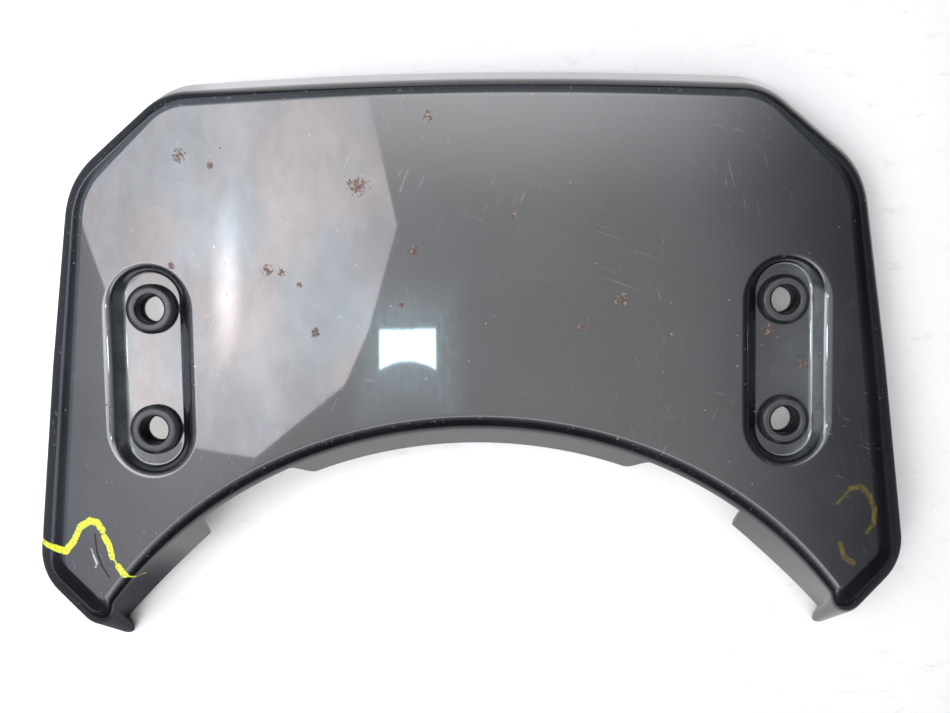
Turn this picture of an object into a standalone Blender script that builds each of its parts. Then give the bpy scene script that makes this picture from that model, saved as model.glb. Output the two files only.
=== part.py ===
"""Motorcycle windshield screen: one moulded shell and the four rubber grommets it hangs on.

Metres, +Z up. Everything is drawn in the mounting axes: x to the right, y up the screen and z
along the grommet bores, with the middle of the grommet pattern at x = y = 0 and the crest of the
face at z = 0. The assembly is then laid face up on its rear edge.
"""

import math

import bmesh
import bpy
import numpy as np
from mathutils import Vector
from mathutils.geometry import delaunay_2d_cdt

# Moulding
WALL = 0.0028
WRAP_RADIUS = 0.650  # the face is wrapped to this radius about the y axis

# Grommet pattern, which the pockets and the outline are set out from
GROMMET_SPAN = 0.2350
GROMMET_PITCH = 0.0450

# Face outline: its corners, with x measured from the line through a side's two grommets
TOP_Y = 0.0965
TOP_CROWN = 0.0015
SHOULDER_IN = 0.0100
SIDE_TOP_OUT = 0.0231
SIDE_TOP_Y = 0.0657
SIDE_FOOT_OUT = 0.0371
SIDE_FOOT_Y = -0.0739
HORN_ANGLE = math.radians(41)  # of the edge that cuts off each lower corner, from the x axis
SHOULDER_FILLET = 0.020
SIDE_TOP_FILLET = 0.024
SIDE_FOOT_FILLET = 0.005
HORN_FILLET = 0.002

# Headlight arch
ARCH_RADIUS = 0.1735
ARCH_Y = -0.0170

# Rim: a sloping band, then a rounded edge that turns into the skirt
BAND_ANGLE = math.radians(22)
BAND_TOP = 0.0046
BAND_SHOULDER = 0.0080
BAND_SIDE = 0.0114
BAND_HORN = 0.0130
BAND_ARCH = 0.0039
EDGE_ROUND = WALL + 0.0008
EDGE_ROUND_SHARE = 0.42  # a wide band gives this share of its width to its rounded edge

# Skirt: its free edge lies in one plane down the sides and round the horns
REAR_DEPTH = 0.0435  # of that plane behind the crest of the face, at the grommet line
REAR_SLOPE = 0.135
LEAN_SIDE = 0.25  # how far the skirt spreads per unit of depth
LEAN_TOP = 0.39
LEAN_ARCH = 0.47
LEAN_HORN = 0.25  # sideways, at the horn's tip

# Castellated skirt of the arch: depths of its free edge behind the face
TAB_DEPTH = 0.024
NOTCH_DEPTH = 0.0068
MIDDLE_DEPTH = 0.021

# and where its steps lie, as distances from the middle along x
MIDDLE_END = 0.0595
NOTCH_START = 0.0680
NOTCH_END = 0.1028
TAB_START = 0.1050

# Grommets
CLEAR = 0.0003
BORE_RADIUS = 0.0052
BORE_END_RADIUS = 0.0046
FLANGE_RADIUS = 0.0093
FLANGE_FLAT = 0.0081
FRONT_FLANGE = 0.0025
REAR_FLANGE = 0.0036
HOLE_RADIUS = 0.0070

# Pockets that the grommets stand in
POCKET_DEPTH = 0.0075  # below the face, at the grommet line
FLOOR_MARGIN = 0.0009  # between a flange and the side of the floor
FLOOR_END = 0.0024  # how far the floor's end arc is centred past the grommet
POCKET_SIDE_RUN = 0.0071
POCKET_END_RUN = 0.0040
POCKET_LEAN_IN = 0.0008  # the mouth is set this much nearer the middle than the floor
FLOOR_FILLET = 0.0016

# Facets
STRIP = 0.0200  # width of the flat strips that the wrapped face is divided into
FILLET_STEPS = 5
ROUND_STEPS = 3
ARCH_STEPS = (5, 3, 3, 2, 5)
STADIUM_STEPS = 10
GROMMET_STEPS = 24
SAME = 1e-6  # places nearer than this are one

HALF_SPAN = GROMMET_SPAN / 2
FLOOR_HALF_WIDTH = FLANGE_RADIUS + FLOOR_MARGIN
MOUTH_HALF_WIDTH = FLOOR_HALF_WIDTH + POCKET_SIDE_RUN
FLOOR_Z = -(HALF_SPAN**2) / (2 * WRAP_RADIUS) - POCKET_DEPTH


def wrap(x):
    """Height of the wrapped face at x."""
    return -(x**2) / (2 * WRAP_RADIUS)


def unit(vector):
    return vector / np.linalg.norm(vector)


def fillet(before, corner, after, radius):
    """Points of the arc that rounds the corner between the lines from it to before and after."""
    towards_before = unit(before - corner)
    towards_after = unit(after - corner)
    half_angle = math.acos(float(towards_before @ towards_after)) / 2
    centre = corner + unit(towards_before + towards_after) * radius / math.sin(half_angle)
    reach = radius / math.tan(half_angle)
    start = corner + towards_before * reach - centre
    end = corner + towards_after * reach - centre
    swept = math.pi - 2 * half_angle
    share = np.linspace(0, 1, FILLET_STEPS + 1)[:, None]
    return centre + (np.sin((1 - share) * swept) * start + np.sin(share * swept) * end) / math.sin(swept)


def arch_point(angle):
    """Point of the arch at an angle from the y axis, measured about the arch's centre."""
    centre_y = ARCH_Y - ARCH_RADIUS
    return np.stack([ARCH_RADIUS * np.sin(angle), centre_y + ARCH_RADIUS * np.cos(angle)], axis=-1)


def horn_angle_on_arch():
    """Angle at which the line that cuts off the lower corner meets the arch."""
    start = np.array([HALF_SPAN + SIDE_FOOT_OUT, SIDE_FOOT_Y - ARCH_Y + ARCH_RADIUS])
    along = np.array([-math.cos(HORN_ANGLE), -math.sin(HORN_ANGLE)])
    middle = float(start @ along)
    travel = -middle - math.sqrt(middle**2 - float(start @ start) + ARCH_RADIUS**2)
    meeting = start + travel * along
    return math.atan2(meeting[0], meeting[1])


def arch_angles(tip_angle):
    """Angles along the arch from the horn to the middle, with a station at each castellation."""
    stops = [0.0, MIDDLE_END, NOTCH_START, NOTCH_END, TAB_START]
    stops = [math.asin(stop / ARCH_RADIUS) for stop in stops] + [tip_angle]
    runs = [np.linspace(stops[i], stops[i + 1], steps + 1)[:-1] for i, steps in enumerate(ARCH_STEPS)]
    return np.concatenate(runs)[::-1]


def half_outline():
    """Right half of the face's outline, from the top middle round to the arch's middle, with each
    point's arch share: 0 on the outer sides, 1 on the arch and between them round the horn."""
    shoulder = np.array([HALF_SPAN - SHOULDER_IN, TOP_Y - TOP_CROWN])
    side_top = np.array([HALF_SPAN + SIDE_TOP_OUT, SIDE_TOP_Y])
    side_foot = np.array([HALF_SPAN + SIDE_FOOT_OUT, SIDE_FOOT_Y])
    tip_angle = horn_angle_on_arch()
    tip = arch_point(tip_angle)
    top_middle = np.array([0.0, TOP_Y])
    up_the_arch = arch_point(tip_angle - HORN_FILLET / ARCH_RADIUS)
    outer = [
        top_middle[None],
        fillet(top_middle, shoulder, side_top, SHOULDER_FILLET),
        fillet(shoulder, side_top, side_foot, SIDE_TOP_FILLET),
        fillet(side_top, side_foot, tip, SIDE_FOOT_FILLET),
    ]
    horn = fillet(side_foot, tip, up_the_arch, HORN_FILLET)
    arch = arch_point(arch_angles(tip_angle))
    points = np.concatenate(outer + [horn, arch])
    share = np.zeros(len(points))
    share[-len(arch) :] = 1.0
    share[-len(arch) - len(horn) : -len(arch)] = np.linspace(0, 1, len(horn))
    return points, share


def strip_edges():
    """Places along x, on the right, of the lines that divide the wrapped face into flat strips. At
    a pocket they run through the ends and the sides of its mouth."""
    centre = HALF_SPAN - POCKET_LEAN_IN
    inner = centre - MOUTH_HALF_WIDTH
    outer = centre + MOUTH_HALF_WIDTH
    across = np.linspace(0, inner, math.ceil(inner / STRIP) + 1)
    outboard = np.linspace(outer, HALF_SPAN + SIDE_FOOT_OUT, 4)[:-1]
    return np.concatenate([across, [centre], outboard])


def with_strip_crossings(points, share):
    """The same line with a point added wherever it crosses the edge of a strip."""
    edges = strip_edges()
    stations = np.column_stack([points, share])
    rows = [stations[0]]
    for here, there in zip(stations[:-1], stations[1:]):
        low, high = sorted((here[0], there[0]))
        crossed = edges[(edges > low + SAME) & (edges < high - SAME)]
        if there[0] < here[0]:
            crossed = crossed[::-1]
        for edge in crossed:
            rows.append(here + (there - here) * (edge - here[0]) / (there[0] - here[0]))
        rows.append(there)
    rows = np.array(rows)
    return rows[:, :2], rows[:, 2]


def full_outline():
    """The whole outline, clockwise from the top middle, with its arch share and outward normals."""
    points, share = with_strip_crossings(*half_outline())
    left = points[-2:0:-1] * [-1, 1]
    points = np.concatenate([points, left])
    share = np.concatenate([share, share[-2:0:-1]])
    ahead = np.roll(points, -1, axis=0) - points
    ahead /= np.linalg.norm(ahead, axis=1)[:, None]
    tangent = ahead + np.roll(ahead, 1, axis=0)
    tangent /= np.linalg.norm(tangent, axis=1)[:, None]
    normal = np.column_stack([-tangent[:, 1], tangent[:, 0]])
    return points, share, normal


def band_width(points, share):
    """Width of the rim outside the face: narrow along the top and the arch, wide down the sides."""
    heights = [ARCH_Y - ARCH_RADIUS / 2, SIDE_FOOT_Y, 0.0, SIDE_TOP_Y, TOP_Y - TOP_CROWN]
    widths = [BAND_HORN, BAND_HORN, BAND_SIDE, BAND_SHOULDER, BAND_TOP]
    outer = np.interp(points[:, 1], heights, widths)
    return outer * (1 - share) + BAND_ARCH * share


def horn_share(points):
    """How far each point lies along the arch's tab: 0 at its inner end and 1 at the horn's tip."""
    tip = arch_point(horn_angle_on_arch())
    return np.clip((np.abs(points[:, 0]) - TAB_START) / (tip[0] - TAB_START), 0, 1)


def skirt_lean(points, share, normal):
    """Spread of the skirt per unit of depth, as x and y parts."""
    along_y = np.where(normal[:, 1] > 0, LEAN_TOP, LEAN_ARCH)
    outer = normal * np.column_stack([np.full(len(normal), LEAN_SIDE), along_y])
    sideways = np.sign(points[:, 0]) * LEAN_HORN * horn_share(points)
    arch = np.column_stack([sideways, np.full(len(points), -LEAN_ARCH)])
    return outer * (1 - share[:, None]) + arch * share[:, None]


def skirt_fall(points, share, lean, start):
    """How far the skirt falls from its start. Down the sides and round the horns the wall's inner
    edge lies in the rear plane; along the top it keeps its depth at the shoulders."""
    spread = np.linalg.norm(lean, axis=1)
    inner_edge = WALL * spread / np.sqrt(1 + spread**2)
    bow = np.maximum(wrap(points[:, 0]) - wrap(HALF_SPAN - SHOULDER_IN), 0)
    rear = -REAR_DEPTH + REAR_SLOPE * start[:, 1] + bow + inner_edge
    outer = (start[:, 2] - rear) / (1 + REAR_SLOPE * lean[:, 1])
    stops = [MIDDLE_END, NOTCH_START, NOTCH_END, TAB_START]
    depths = [MIDDLE_DEPTH, NOTCH_DEPTH, NOTCH_DEPTH, TAB_DEPTH]
    arch = start[:, 2] - wrap(points[:, 0]) + np.interp(np.abs(points[:, 0]), stops, depths)
    arch = arch + (outer - arch) * horn_share(points)
    return (outer * (1 - share) + arch * share)[:, None]


def rim_rings():
    """Closed rings of points from the edge of the face out over the rim and down the skirt."""
    points, share, normal = full_outline()
    band = band_width(points, share)[:, None]
    rounding = np.maximum(EDGE_ROUND, EDGE_ROUND_SHARE * band)
    lean = skirt_lean(points, share, normal)

    def at(offset, drop):
        xy = points + offset
        return np.column_stack([xy, wrap(xy[:, 0]) - drop[:, 0]])

    corner_drop = band * math.tan(BAND_ANGLE)
    band_end = at(normal * (band - rounding), (band - rounding) * math.tan(BAND_ANGLE))
    corner = at(normal * band, corner_drop)
    skirt_start = at(normal * band + lean * rounding, corner_drop + rounding)
    rings = [at(normal * 0, band * 0)]
    for share_along in np.linspace(0, 1, ROUND_STEPS + 1):
        rest = 1 - share_along
        bend = rest**2 * band_end + 2 * rest * share_along * corner + share_along**2 * skirt_start
        rings.append(bend)
    fall = skirt_fall(points, share, lean, skirt_start)
    rings.append(skirt_start + np.column_stack([lean, -np.ones(len(lean))]) * fall)
    return rings


def stadium(centre, half_width, half_length):
    """A slot outline with round ends, clockwise from its right side's lower corner."""
    reach = half_length - half_width
    turn = np.linspace(0, math.pi, STADIUM_STEPS + 1)
    top = np.column_stack([half_width * np.cos(turn), reach + half_width * np.sin(turn)])
    return np.concatenate([top, -top])[::-1] + centre


def pocket_rings(side):
    """Rings of one pocket, from its mouth in the face down to the edge of its floor."""
    floor_centre = np.array([side * HALF_SPAN, 0.0])
    mouth_centre = floor_centre - [side * POCKET_LEAN_IN, 0.0]
    floor_half_length = GROMMET_PITCH / 2 + FLOOR_END + FLOOR_HALF_WIDTH
    mouth_half_length = floor_half_length + POCKET_END_RUN
    mouth = stadium(mouth_centre, MOUTH_HALF_WIDTH, mouth_half_length)
    floor = stadium(floor_centre, FLOOR_HALF_WIDTH, floor_half_length)
    fillet_ring = stadium(floor_centre, FLOOR_HALF_WIDTH + FLOOR_FILLET, floor_half_length + FLOOR_FILLET)
    top = np.column_stack([mouth, wrap(mouth[:, 0])])
    bottom = np.column_stack([floor, np.full(len(floor), FLOOR_Z)])
    wall_foot = np.column_stack([fillet_ring, np.full(len(floor), FLOOR_Z + FLOOR_FILLET)])
    across = wall_foot[:, :2] - mouth
    across /= np.linalg.norm(across, axis=1)[:, None]
    corner_xy = mouth + across * EDGE_ROUND / 2
    corner = np.column_stack([corner_xy, wrap(corner_xy[:, 0])])
    down_the_wall = wall_foot - corner
    down_the_wall /= np.linalg.norm(down_the_wall, axis=1)[:, None]
    lip_end = corner + down_the_wall * EDGE_ROUND / 2
    rings = []
    for share in np.linspace(0, 1, ROUND_STEPS + 1):
        rings.append((1 - share) ** 2 * top + 2 * (1 - share) * share * corner + share**2 * lip_end)
    return rings + [wall_foot, bottom]


def grommet_places():
    """Each grommet's name and place in plan."""
    for side_name, side in (("left", -1), ("right", 1)):
        for end_name, end in (("upper", 1), ("lower", -1)):
            yield f"grommet_{end_name}_{side_name}", side * HALF_SPAN, end * GROMMET_PITCH / 2


def circle(x, y, radius):
    turn = np.arange(GROMMET_STEPS) * 2 * math.pi / GROMMET_STEPS
    return np.column_stack([x + radius * np.cos(turn), y + radius * np.sin(turn)])


class Skin:
    """Vertices and faces of the shell's outer surface, gathered ring by ring."""

    def __init__(self):
        self.vertices = []
        self.faces = []

    def ring(self, points):
        """Adds a closed ring of points and returns their numbers."""
        first = len(self.vertices)
        self.vertices.extend(tuple(point) for point in points)
        return list(range(first, first + len(points)))

    def bridge(self, one, other):
        """Joins two rings of the same length with quads."""
        for i in range(len(one)):
            j = (i + 1) % len(one)
            self.faces.append((one[i], one[j], other[j], other[i]))

    def fill(self, outer, holes, lines=()):
        """Fills the area inside the outer ring and outside the holes. Triangles keep to one side of
        the lines, which are pairs of numbers."""
        loops = [outer] + list(holes)
        known = [number for loop in loops for number in loop]
        order = {number: i for i, number in enumerate(known)}
        flat = [Vector(self.vertices[number][:2]) for number in known]
        sides = [(loop[i - 1], loop[i]) for loop in loops for i in range(len(loop))]
        edges = [(order[one], order[other]) for one, other in sides + list(lines)]
        places, _, triangles, origins = delaunay_2d_cdt(flat, edges, [], 1, SAME / 10)[:4]
        gaps = [np.array([self.vertices[number][:2] for number in loop]) for loop in holes]
        for triangle in triangles:
            middle = sum((places[i] for i in triangle), Vector((0, 0))) / 3
            if not any(inside(gap, middle) for gap in gaps):
                self.faces.append(tuple(known[origins[i][0]] for i in triangle))

    def strip_lines(self, outline, mouths):
        """Pairs of points along the edge of each strip, broken where a mouth is in the way."""
        pairs = []
        for place in strip_edges():
            for x in {place, -place}:
                high, low = self._ends_at(x, outline)
                stops = [low, high]
                for mouth in mouths:
                    ends = self._ends_at(x, mouth)
                    stops[1:1] = ends[::-1]
                pairs += [(stops[i], stops[i + 1]) for i in range(0, len(stops), 2)]
        return pairs

    def _ends_at(self, x, ring):
        """The highest and the lowest point of the ring at this x, or nothing where it has none."""
        found = [number for number in ring if abs(self.vertices[number][0] - x) < SAME]
        found.sort(key=lambda number: self.vertices[number][1])
        return [found[-1], found[0]] if found else []

    def mesh(self, name):
        data = bpy.data.meshes.new(name)
        data.from_pydata(self.vertices, [], self.faces)
        shape = bmesh.new()
        shape.from_mesh(data)
        bmesh.ops.recalc_face_normals(shape, faces=shape.faces)
        top = max(shape.faces, key=lambda face: face.calc_center_median().z)
        if top.normal.z < 0:
            bmesh.ops.reverse_faces(shape, faces=shape.faces)
        shape.to_mesh(data)
        shape.free()
        return data


def inside(ring, point):
    """Whether a point lies inside a closed ring, by counting the edges to its right."""
    x0, y0 = ring[:, 0], ring[:, 1]
    x1, y1 = np.roll(x0, -1), np.roll(y0, -1)
    spans = (y0 > point.y) != (y1 > point.y)
    with np.errstate(divide="ignore", invalid="ignore"):
        crossing = x0 + (point.y - y0) * (x1 - x0) / (y1 - y0)
    return bool(np.count_nonzero(spans & (crossing > point.x)) % 2)


def material(name, colour, roughness, alpha=1.0):
    made = bpy.data.materials.new(name)
    made.use_nodes = True
    shader = made.node_tree.nodes["Principled BSDF"]
    shader.inputs["Base Color"].default_value = (*colour, 1.0)
    shader.inputs["Roughness"].default_value = roughness
    shader.inputs["Alpha"].default_value = alpha
    return made


def add_object(name, data, parent, finish):
    made = bpy.data.objects.new(name, data)
    bpy.context.collection.objects.link(made)
    made.parent = parent
    data.materials.append(finish)
    return made


def screen_shell(parent):
    """The moulded shell: wrapped face, rim, skirt and two pockets, as a skin given its wall."""
    skin = Skin()
    rings = [skin.ring(ring) for ring in rim_rings()]
    for one, other in zip(rings[:-1], rings[1:]):
        skin.bridge(one, other)
    mouths = []
    for side in (-1, 1):
        pocket = [skin.ring(ring) for ring in pocket_rings(side)]
        for one, other in zip(pocket[:-1], pocket[1:]):
            skin.bridge(one, other)
        holes = []
        for _, x, y in grommet_places():
            if x * side > 0:
                holes.append(skin.ring([(*point, FLOOR_Z) for point in circle(x, y, HOLE_RADIUS)]))
        skin.fill(pocket[-1], holes)
        mouths.append(pocket[0])
    skin.fill(rings[0], mouths, skin.strip_lines(rings[0], mouths))
    smoked = material("smoked_moulding", (0.012, 0.013, 0.016), 0.12)
    shell = add_object("screen_shell", skin.mesh("screen_shell"), parent, smoked)
    wall = shell.modifiers.new("wall", "SOLIDIFY")
    wall.thickness = WALL
    wall.offset = -1
    wall.use_even_offset = True
    wall.use_quality_normals = True
    return shell


def grommet_profile():
    """Outline of half a grommet's section, from the bore's mouth round to the bore's far end."""
    front = CLEAR + FRONT_FLANGE
    rear = -WALL - CLEAR - REAR_FLANGE
    edge = FLANGE_RADIUS - FLANGE_FLAT
    neck = HOLE_RADIUS - CLEAR
    return [
        (BORE_RADIUS, front),
        (FLANGE_FLAT, front),
        (FLANGE_RADIUS, front - edge),
        (FLANGE_RADIUS, CLEAR),
        (neck, CLEAR),
        (neck, -WALL - CLEAR),
        (FLANGE_RADIUS, -WALL - CLEAR),
        (FLANGE_RADIUS, rear + edge),
        (FLANGE_FLAT, rear),
        (BORE_END_RADIUS, rear),
    ]


def grommets(parent):
    """Four turned rubber grommets, each gripping the pocket floor in the groove round its neck."""
    rubber = material("black_rubber", (0.02, 0.02, 0.022), 0.6)
    data = bpy.data.meshes.new("grommet")
    shape = bmesh.new()
    ring = [shape.verts.new((radius, 0.0, height)) for radius, height in grommet_profile()]
    edges = [shape.edges.new((ring[i - 1], ring[i])) for i in range(len(ring))]
    bmesh.ops.spin(
        shape,
        geom=ring + edges,
        cent=(0, 0, 0),
        axis=(0, 0, 1),
        angle=2 * math.pi,
        steps=GROMMET_STEPS,
        use_merge=True,
    )
    bmesh.ops.remove_doubles(shape, verts=shape.verts, dist=1e-6)
    bmesh.ops.recalc_face_normals(shape, faces=shape.faces)
    shape.to_mesh(data)
    shape.free()
    data.shade_smooth()
    data.set_sharp_from_angle(angle=math.radians(35))
    for name, x, y in grommet_places():
        made = add_object(name, data.copy(), parent, rubber)
        made.location = (x, y, FLOOR_Z)


def lay_down(frame, shell):
    """Tips the mounting axes until the rear plane is level, so that the assembly lies face up, with
    the middle of the underside of its box at the origin."""
    tilt = -math.atan(REAR_SLOPE)
    bpy.context.view_layer.update()
    solid = shell.evaluated_get(bpy.context.evaluated_depsgraph_get())
    places = np.array([vertex.co for vertex in solid.data.vertices])
    y = places[:, 1] * math.cos(tilt) - places[:, 2] * math.sin(tilt)
    z = places[:, 1] * math.sin(tilt) + places[:, 2] * math.cos(tilt)
    frame.rotation_euler = (tilt, 0, 0)
    frame.location = (0, -(y.min() + y.max()) / 2, -z.min())


def main():
    for old in list(bpy.data.objects):
        bpy.data.objects.remove(old, do_unlink=True)
    frame = bpy.data.objects.new("mounting_axes", None)
    bpy.context.collection.objects.link(frame)
    shell = screen_shell(frame)
    grommets(frame)
    lay_down(frame, shell)


main()
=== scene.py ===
"""Looks of a motorcycle windshield screen: its smoked moulding and its four rubber grommets.

Everything is in metres. The screen is drawn in its mounting axes (x across, y up the screen, z along
the grommet bores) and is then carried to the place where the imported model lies.
"""

import logging
import math
from dataclasses import dataclass, field
from enum import Enum

import bpy
import numpy as np
from mathutils import Matrix, Vector
from mathutils.geometry import delaunay_2d_cdt


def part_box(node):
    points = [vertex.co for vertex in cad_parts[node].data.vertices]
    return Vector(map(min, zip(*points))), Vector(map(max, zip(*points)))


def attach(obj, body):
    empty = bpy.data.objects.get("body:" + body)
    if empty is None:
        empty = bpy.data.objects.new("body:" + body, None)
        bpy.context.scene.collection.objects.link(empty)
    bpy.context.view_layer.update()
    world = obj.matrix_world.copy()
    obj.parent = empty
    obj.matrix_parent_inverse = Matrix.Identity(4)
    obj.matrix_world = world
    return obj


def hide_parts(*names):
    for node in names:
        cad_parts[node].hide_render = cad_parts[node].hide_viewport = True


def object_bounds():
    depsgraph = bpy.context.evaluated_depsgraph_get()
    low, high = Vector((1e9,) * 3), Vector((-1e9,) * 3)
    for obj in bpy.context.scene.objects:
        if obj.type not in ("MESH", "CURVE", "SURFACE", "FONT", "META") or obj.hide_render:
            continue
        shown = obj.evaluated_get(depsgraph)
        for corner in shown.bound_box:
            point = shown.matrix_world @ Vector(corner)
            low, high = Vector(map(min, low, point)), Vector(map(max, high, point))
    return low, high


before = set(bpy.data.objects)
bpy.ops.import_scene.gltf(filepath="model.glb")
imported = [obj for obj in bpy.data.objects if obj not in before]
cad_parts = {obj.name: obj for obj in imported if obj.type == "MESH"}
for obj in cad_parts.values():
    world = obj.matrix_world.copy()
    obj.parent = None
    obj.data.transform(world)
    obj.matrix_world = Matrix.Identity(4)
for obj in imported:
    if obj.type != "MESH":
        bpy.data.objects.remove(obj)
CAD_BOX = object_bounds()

logging.basicConfig(level=logging.INFO, format="%(name)s: %(message)s")
LOG = logging.getLogger("screen")

Array = np.ndarray
Socket = bpy.types.NodeSocket
Colour = tuple[float, float, float, float]

SAME = 1e-7  # places nearer than this are one
EDGE_MARGIN = 0.0019  # free points of the face stand this far inside its edge
MOUTH_MARGIN = 0.0024  # and this far outside a pocket's mouth
LIP_POWER = 0.7  # below 1, so that the lip's section is squarer than an ellipse
TABLE_GAP = 0.0002  # the table lies this far under the object


class Slot(Enum):
    """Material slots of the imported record."""

    MOULDING = "smoked_moulding"
    RUBBER = "black_rubber"


class Corner(Enum):
    """The four grommets, by the end and the side of the screen that they stand at."""

    UPPER_LEFT = ("upper_left", -1, 1)
    LOWER_LEFT = ("lower_left", -1, -1)
    UPPER_RIGHT = ("upper_right", 1, 1)
    LOWER_RIGHT = ("lower_right", 1, -1)

    @property
    def node(self) -> str:
        """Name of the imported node."""
        return "grommet_" + self.value[0]


# --------------------------------------------------------------------------- geometry helpers


def unit(vectors: Array) -> Array:
    """Scales vectors to unit length along their last axis.

    Args:
        vectors: any array of vectors.

    Returns:
        The same array, each vector divided by its length.
    """
    return vectors / np.linalg.norm(vectors, axis=-1, keepdims=True)


def smooth_step(value: Array, low: float, high: float) -> Array:
    """Rises from 0 at low to 1 at high along 3t^2 - 2t^3.

    Args:
        value: where to read the curve.
        low: place of the 0.
        high: place of the 1.

    Returns:
        The curve's value at each place.
    """
    t = np.clip((value - low) / (high - low), 0, 1)
    return t * t * (3 - 2 * t)


def bezier(start: Array, control: Array, end: Array, steps: int) -> list[Array]:
    """Quadratic Bezier (1-t)^2 A + 2t(1-t) B + t^2 C between whole rings of points.

    Args:
        start: ring A.
        control: ring B.
        end: ring C.
        steps: number of rings after the first.

    Returns:
        The rings at t = 0, 1/steps, ... 1.
    """
    shares = np.linspace(0, 1, steps + 1)
    return [(1 - t) ** 2 * start + 2 * t * (1 - t) * control + t * t * end for t in shares]


def line(start: Array, end: Array, step: float) -> Array:
    """Evenly spaced points strictly between two ends, no further apart than step.

    Args:
        start: first end, left out.
        end: last end, left out.
        step: largest spacing.

    Returns:
        The points between, as rows.
    """
    count = max(1, math.ceil(float(np.linalg.norm(end - start)) / step))
    share = np.linspace(0, 1, count + 1)[1:-1, None]
    return start + (end - start) * share


def corner_arc(before: Array, corner: Array, after: Array, radius: float, step: float) -> Array:
    """Arc of a radius that touches both lines of a corner: start and end rays turned by slerp.

    Args:
        before: a place on the line that comes in.
        corner: where the lines meet.
        after: a place on the line that goes out.
        radius: of the arc.
        step: largest spacing along the arc.

    Returns:
        The arc's points, ends included.
    """
    ray_in, ray_out = unit(before - corner), unit(after - corner)
    half = math.acos(float(np.clip(ray_in @ ray_out, -1, 1))) / 2
    centre = corner + unit(ray_in + ray_out) * radius / math.sin(half)
    reach = radius / math.tan(half)
    first, last = corner + ray_in * reach - centre, corner + ray_out * reach - centre
    swept = math.pi - 2 * half
    count = max(6, math.ceil(swept * radius / step))
    t = np.linspace(0, 1, count + 1)[:, None]
    return centre + (np.sin((1 - t) * swept) * first + np.sin(t * swept) * last) / math.sin(swept)


def within(points: Array, ring: Array) -> Array:
    """Whether points lie in a closed line: a ray to +x crosses it an odd number of times.

    Args:
        points: (n, 2) places.
        ring: (m, 2) corners of the line.

    Returns:
        (n,) truth values.
    """
    x0, y0 = ring[:, 0], ring[:, 1]
    x1, y1 = np.roll(x0, -1), np.roll(y0, -1)
    px, py = points[:, :1], points[:, 1:]
    spans = (y0 > py) != (y1 > py)
    crossing = x0 + (py - y0) * (x1 - x0) / np.where(y1 == y0, 1, y1 - y0)
    return np.count_nonzero(spans & (crossing > px), axis=1) % 2 == 1


def plan_normals(points: Array) -> Array:
    """Outward normals of a closed clockwise line in plan: the mean direction turned left.

    Args:
        points: (n, 2) places.

    Returns:
        (n, 2) unit normals.
    """
    ahead = unit(np.roll(points, -1, axis=0) - points)
    tangent = unit(ahead + np.roll(ahead, 1, axis=0))
    return np.column_stack([-tangent[:, 1], tangent[:, 0]])


@dataclass(frozen=True)
class MountingAxes:
    """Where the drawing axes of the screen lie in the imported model."""

    tilt: float
    place: tuple[float, float, float]

    @classmethod
    def from_frame(cls, middle_height: float) -> "MountingAxes":
        """Reads the axes from the boxes of the four grommets.

        Args:
            middle_height: z of the middle of a grommet in the mounting axes.

        Returns:
            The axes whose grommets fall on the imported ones.
        """
        middles = {corner: np.mean(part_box(corner.node), axis=0) for corner in Corner}
        rise = middles[Corner.UPPER_LEFT] - middles[Corner.LOWER_LEFT]
        tilt = math.atan2(rise[2], rise[1])
        centre = np.mean(list(middles.values()), axis=0)
        lift = np.array([0.0, -math.sin(tilt), math.cos(tilt)]) * middle_height
        return cls(tilt, tuple(float(v) for v in centre - lift))

    def turn(self, vectors: Array) -> Array:
        """Turns directions from the mounting axes into the model's.

        Args:
            vectors: (..., 3) directions.

        Returns:
            The directions turned about x by the tilt.
        """
        c, s = math.cos(self.tilt), math.sin(self.tilt)
        x, y, z = np.moveaxis(np.asarray(vectors, float), -1, 0)
        return np.stack([x, y * c - z * s, y * s + z * c], axis=-1)

    def carry(self, points: Array) -> Array:
        """Carries places from the mounting axes into the model's."""
        return self.turn(points) + np.array(self.place)


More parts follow.
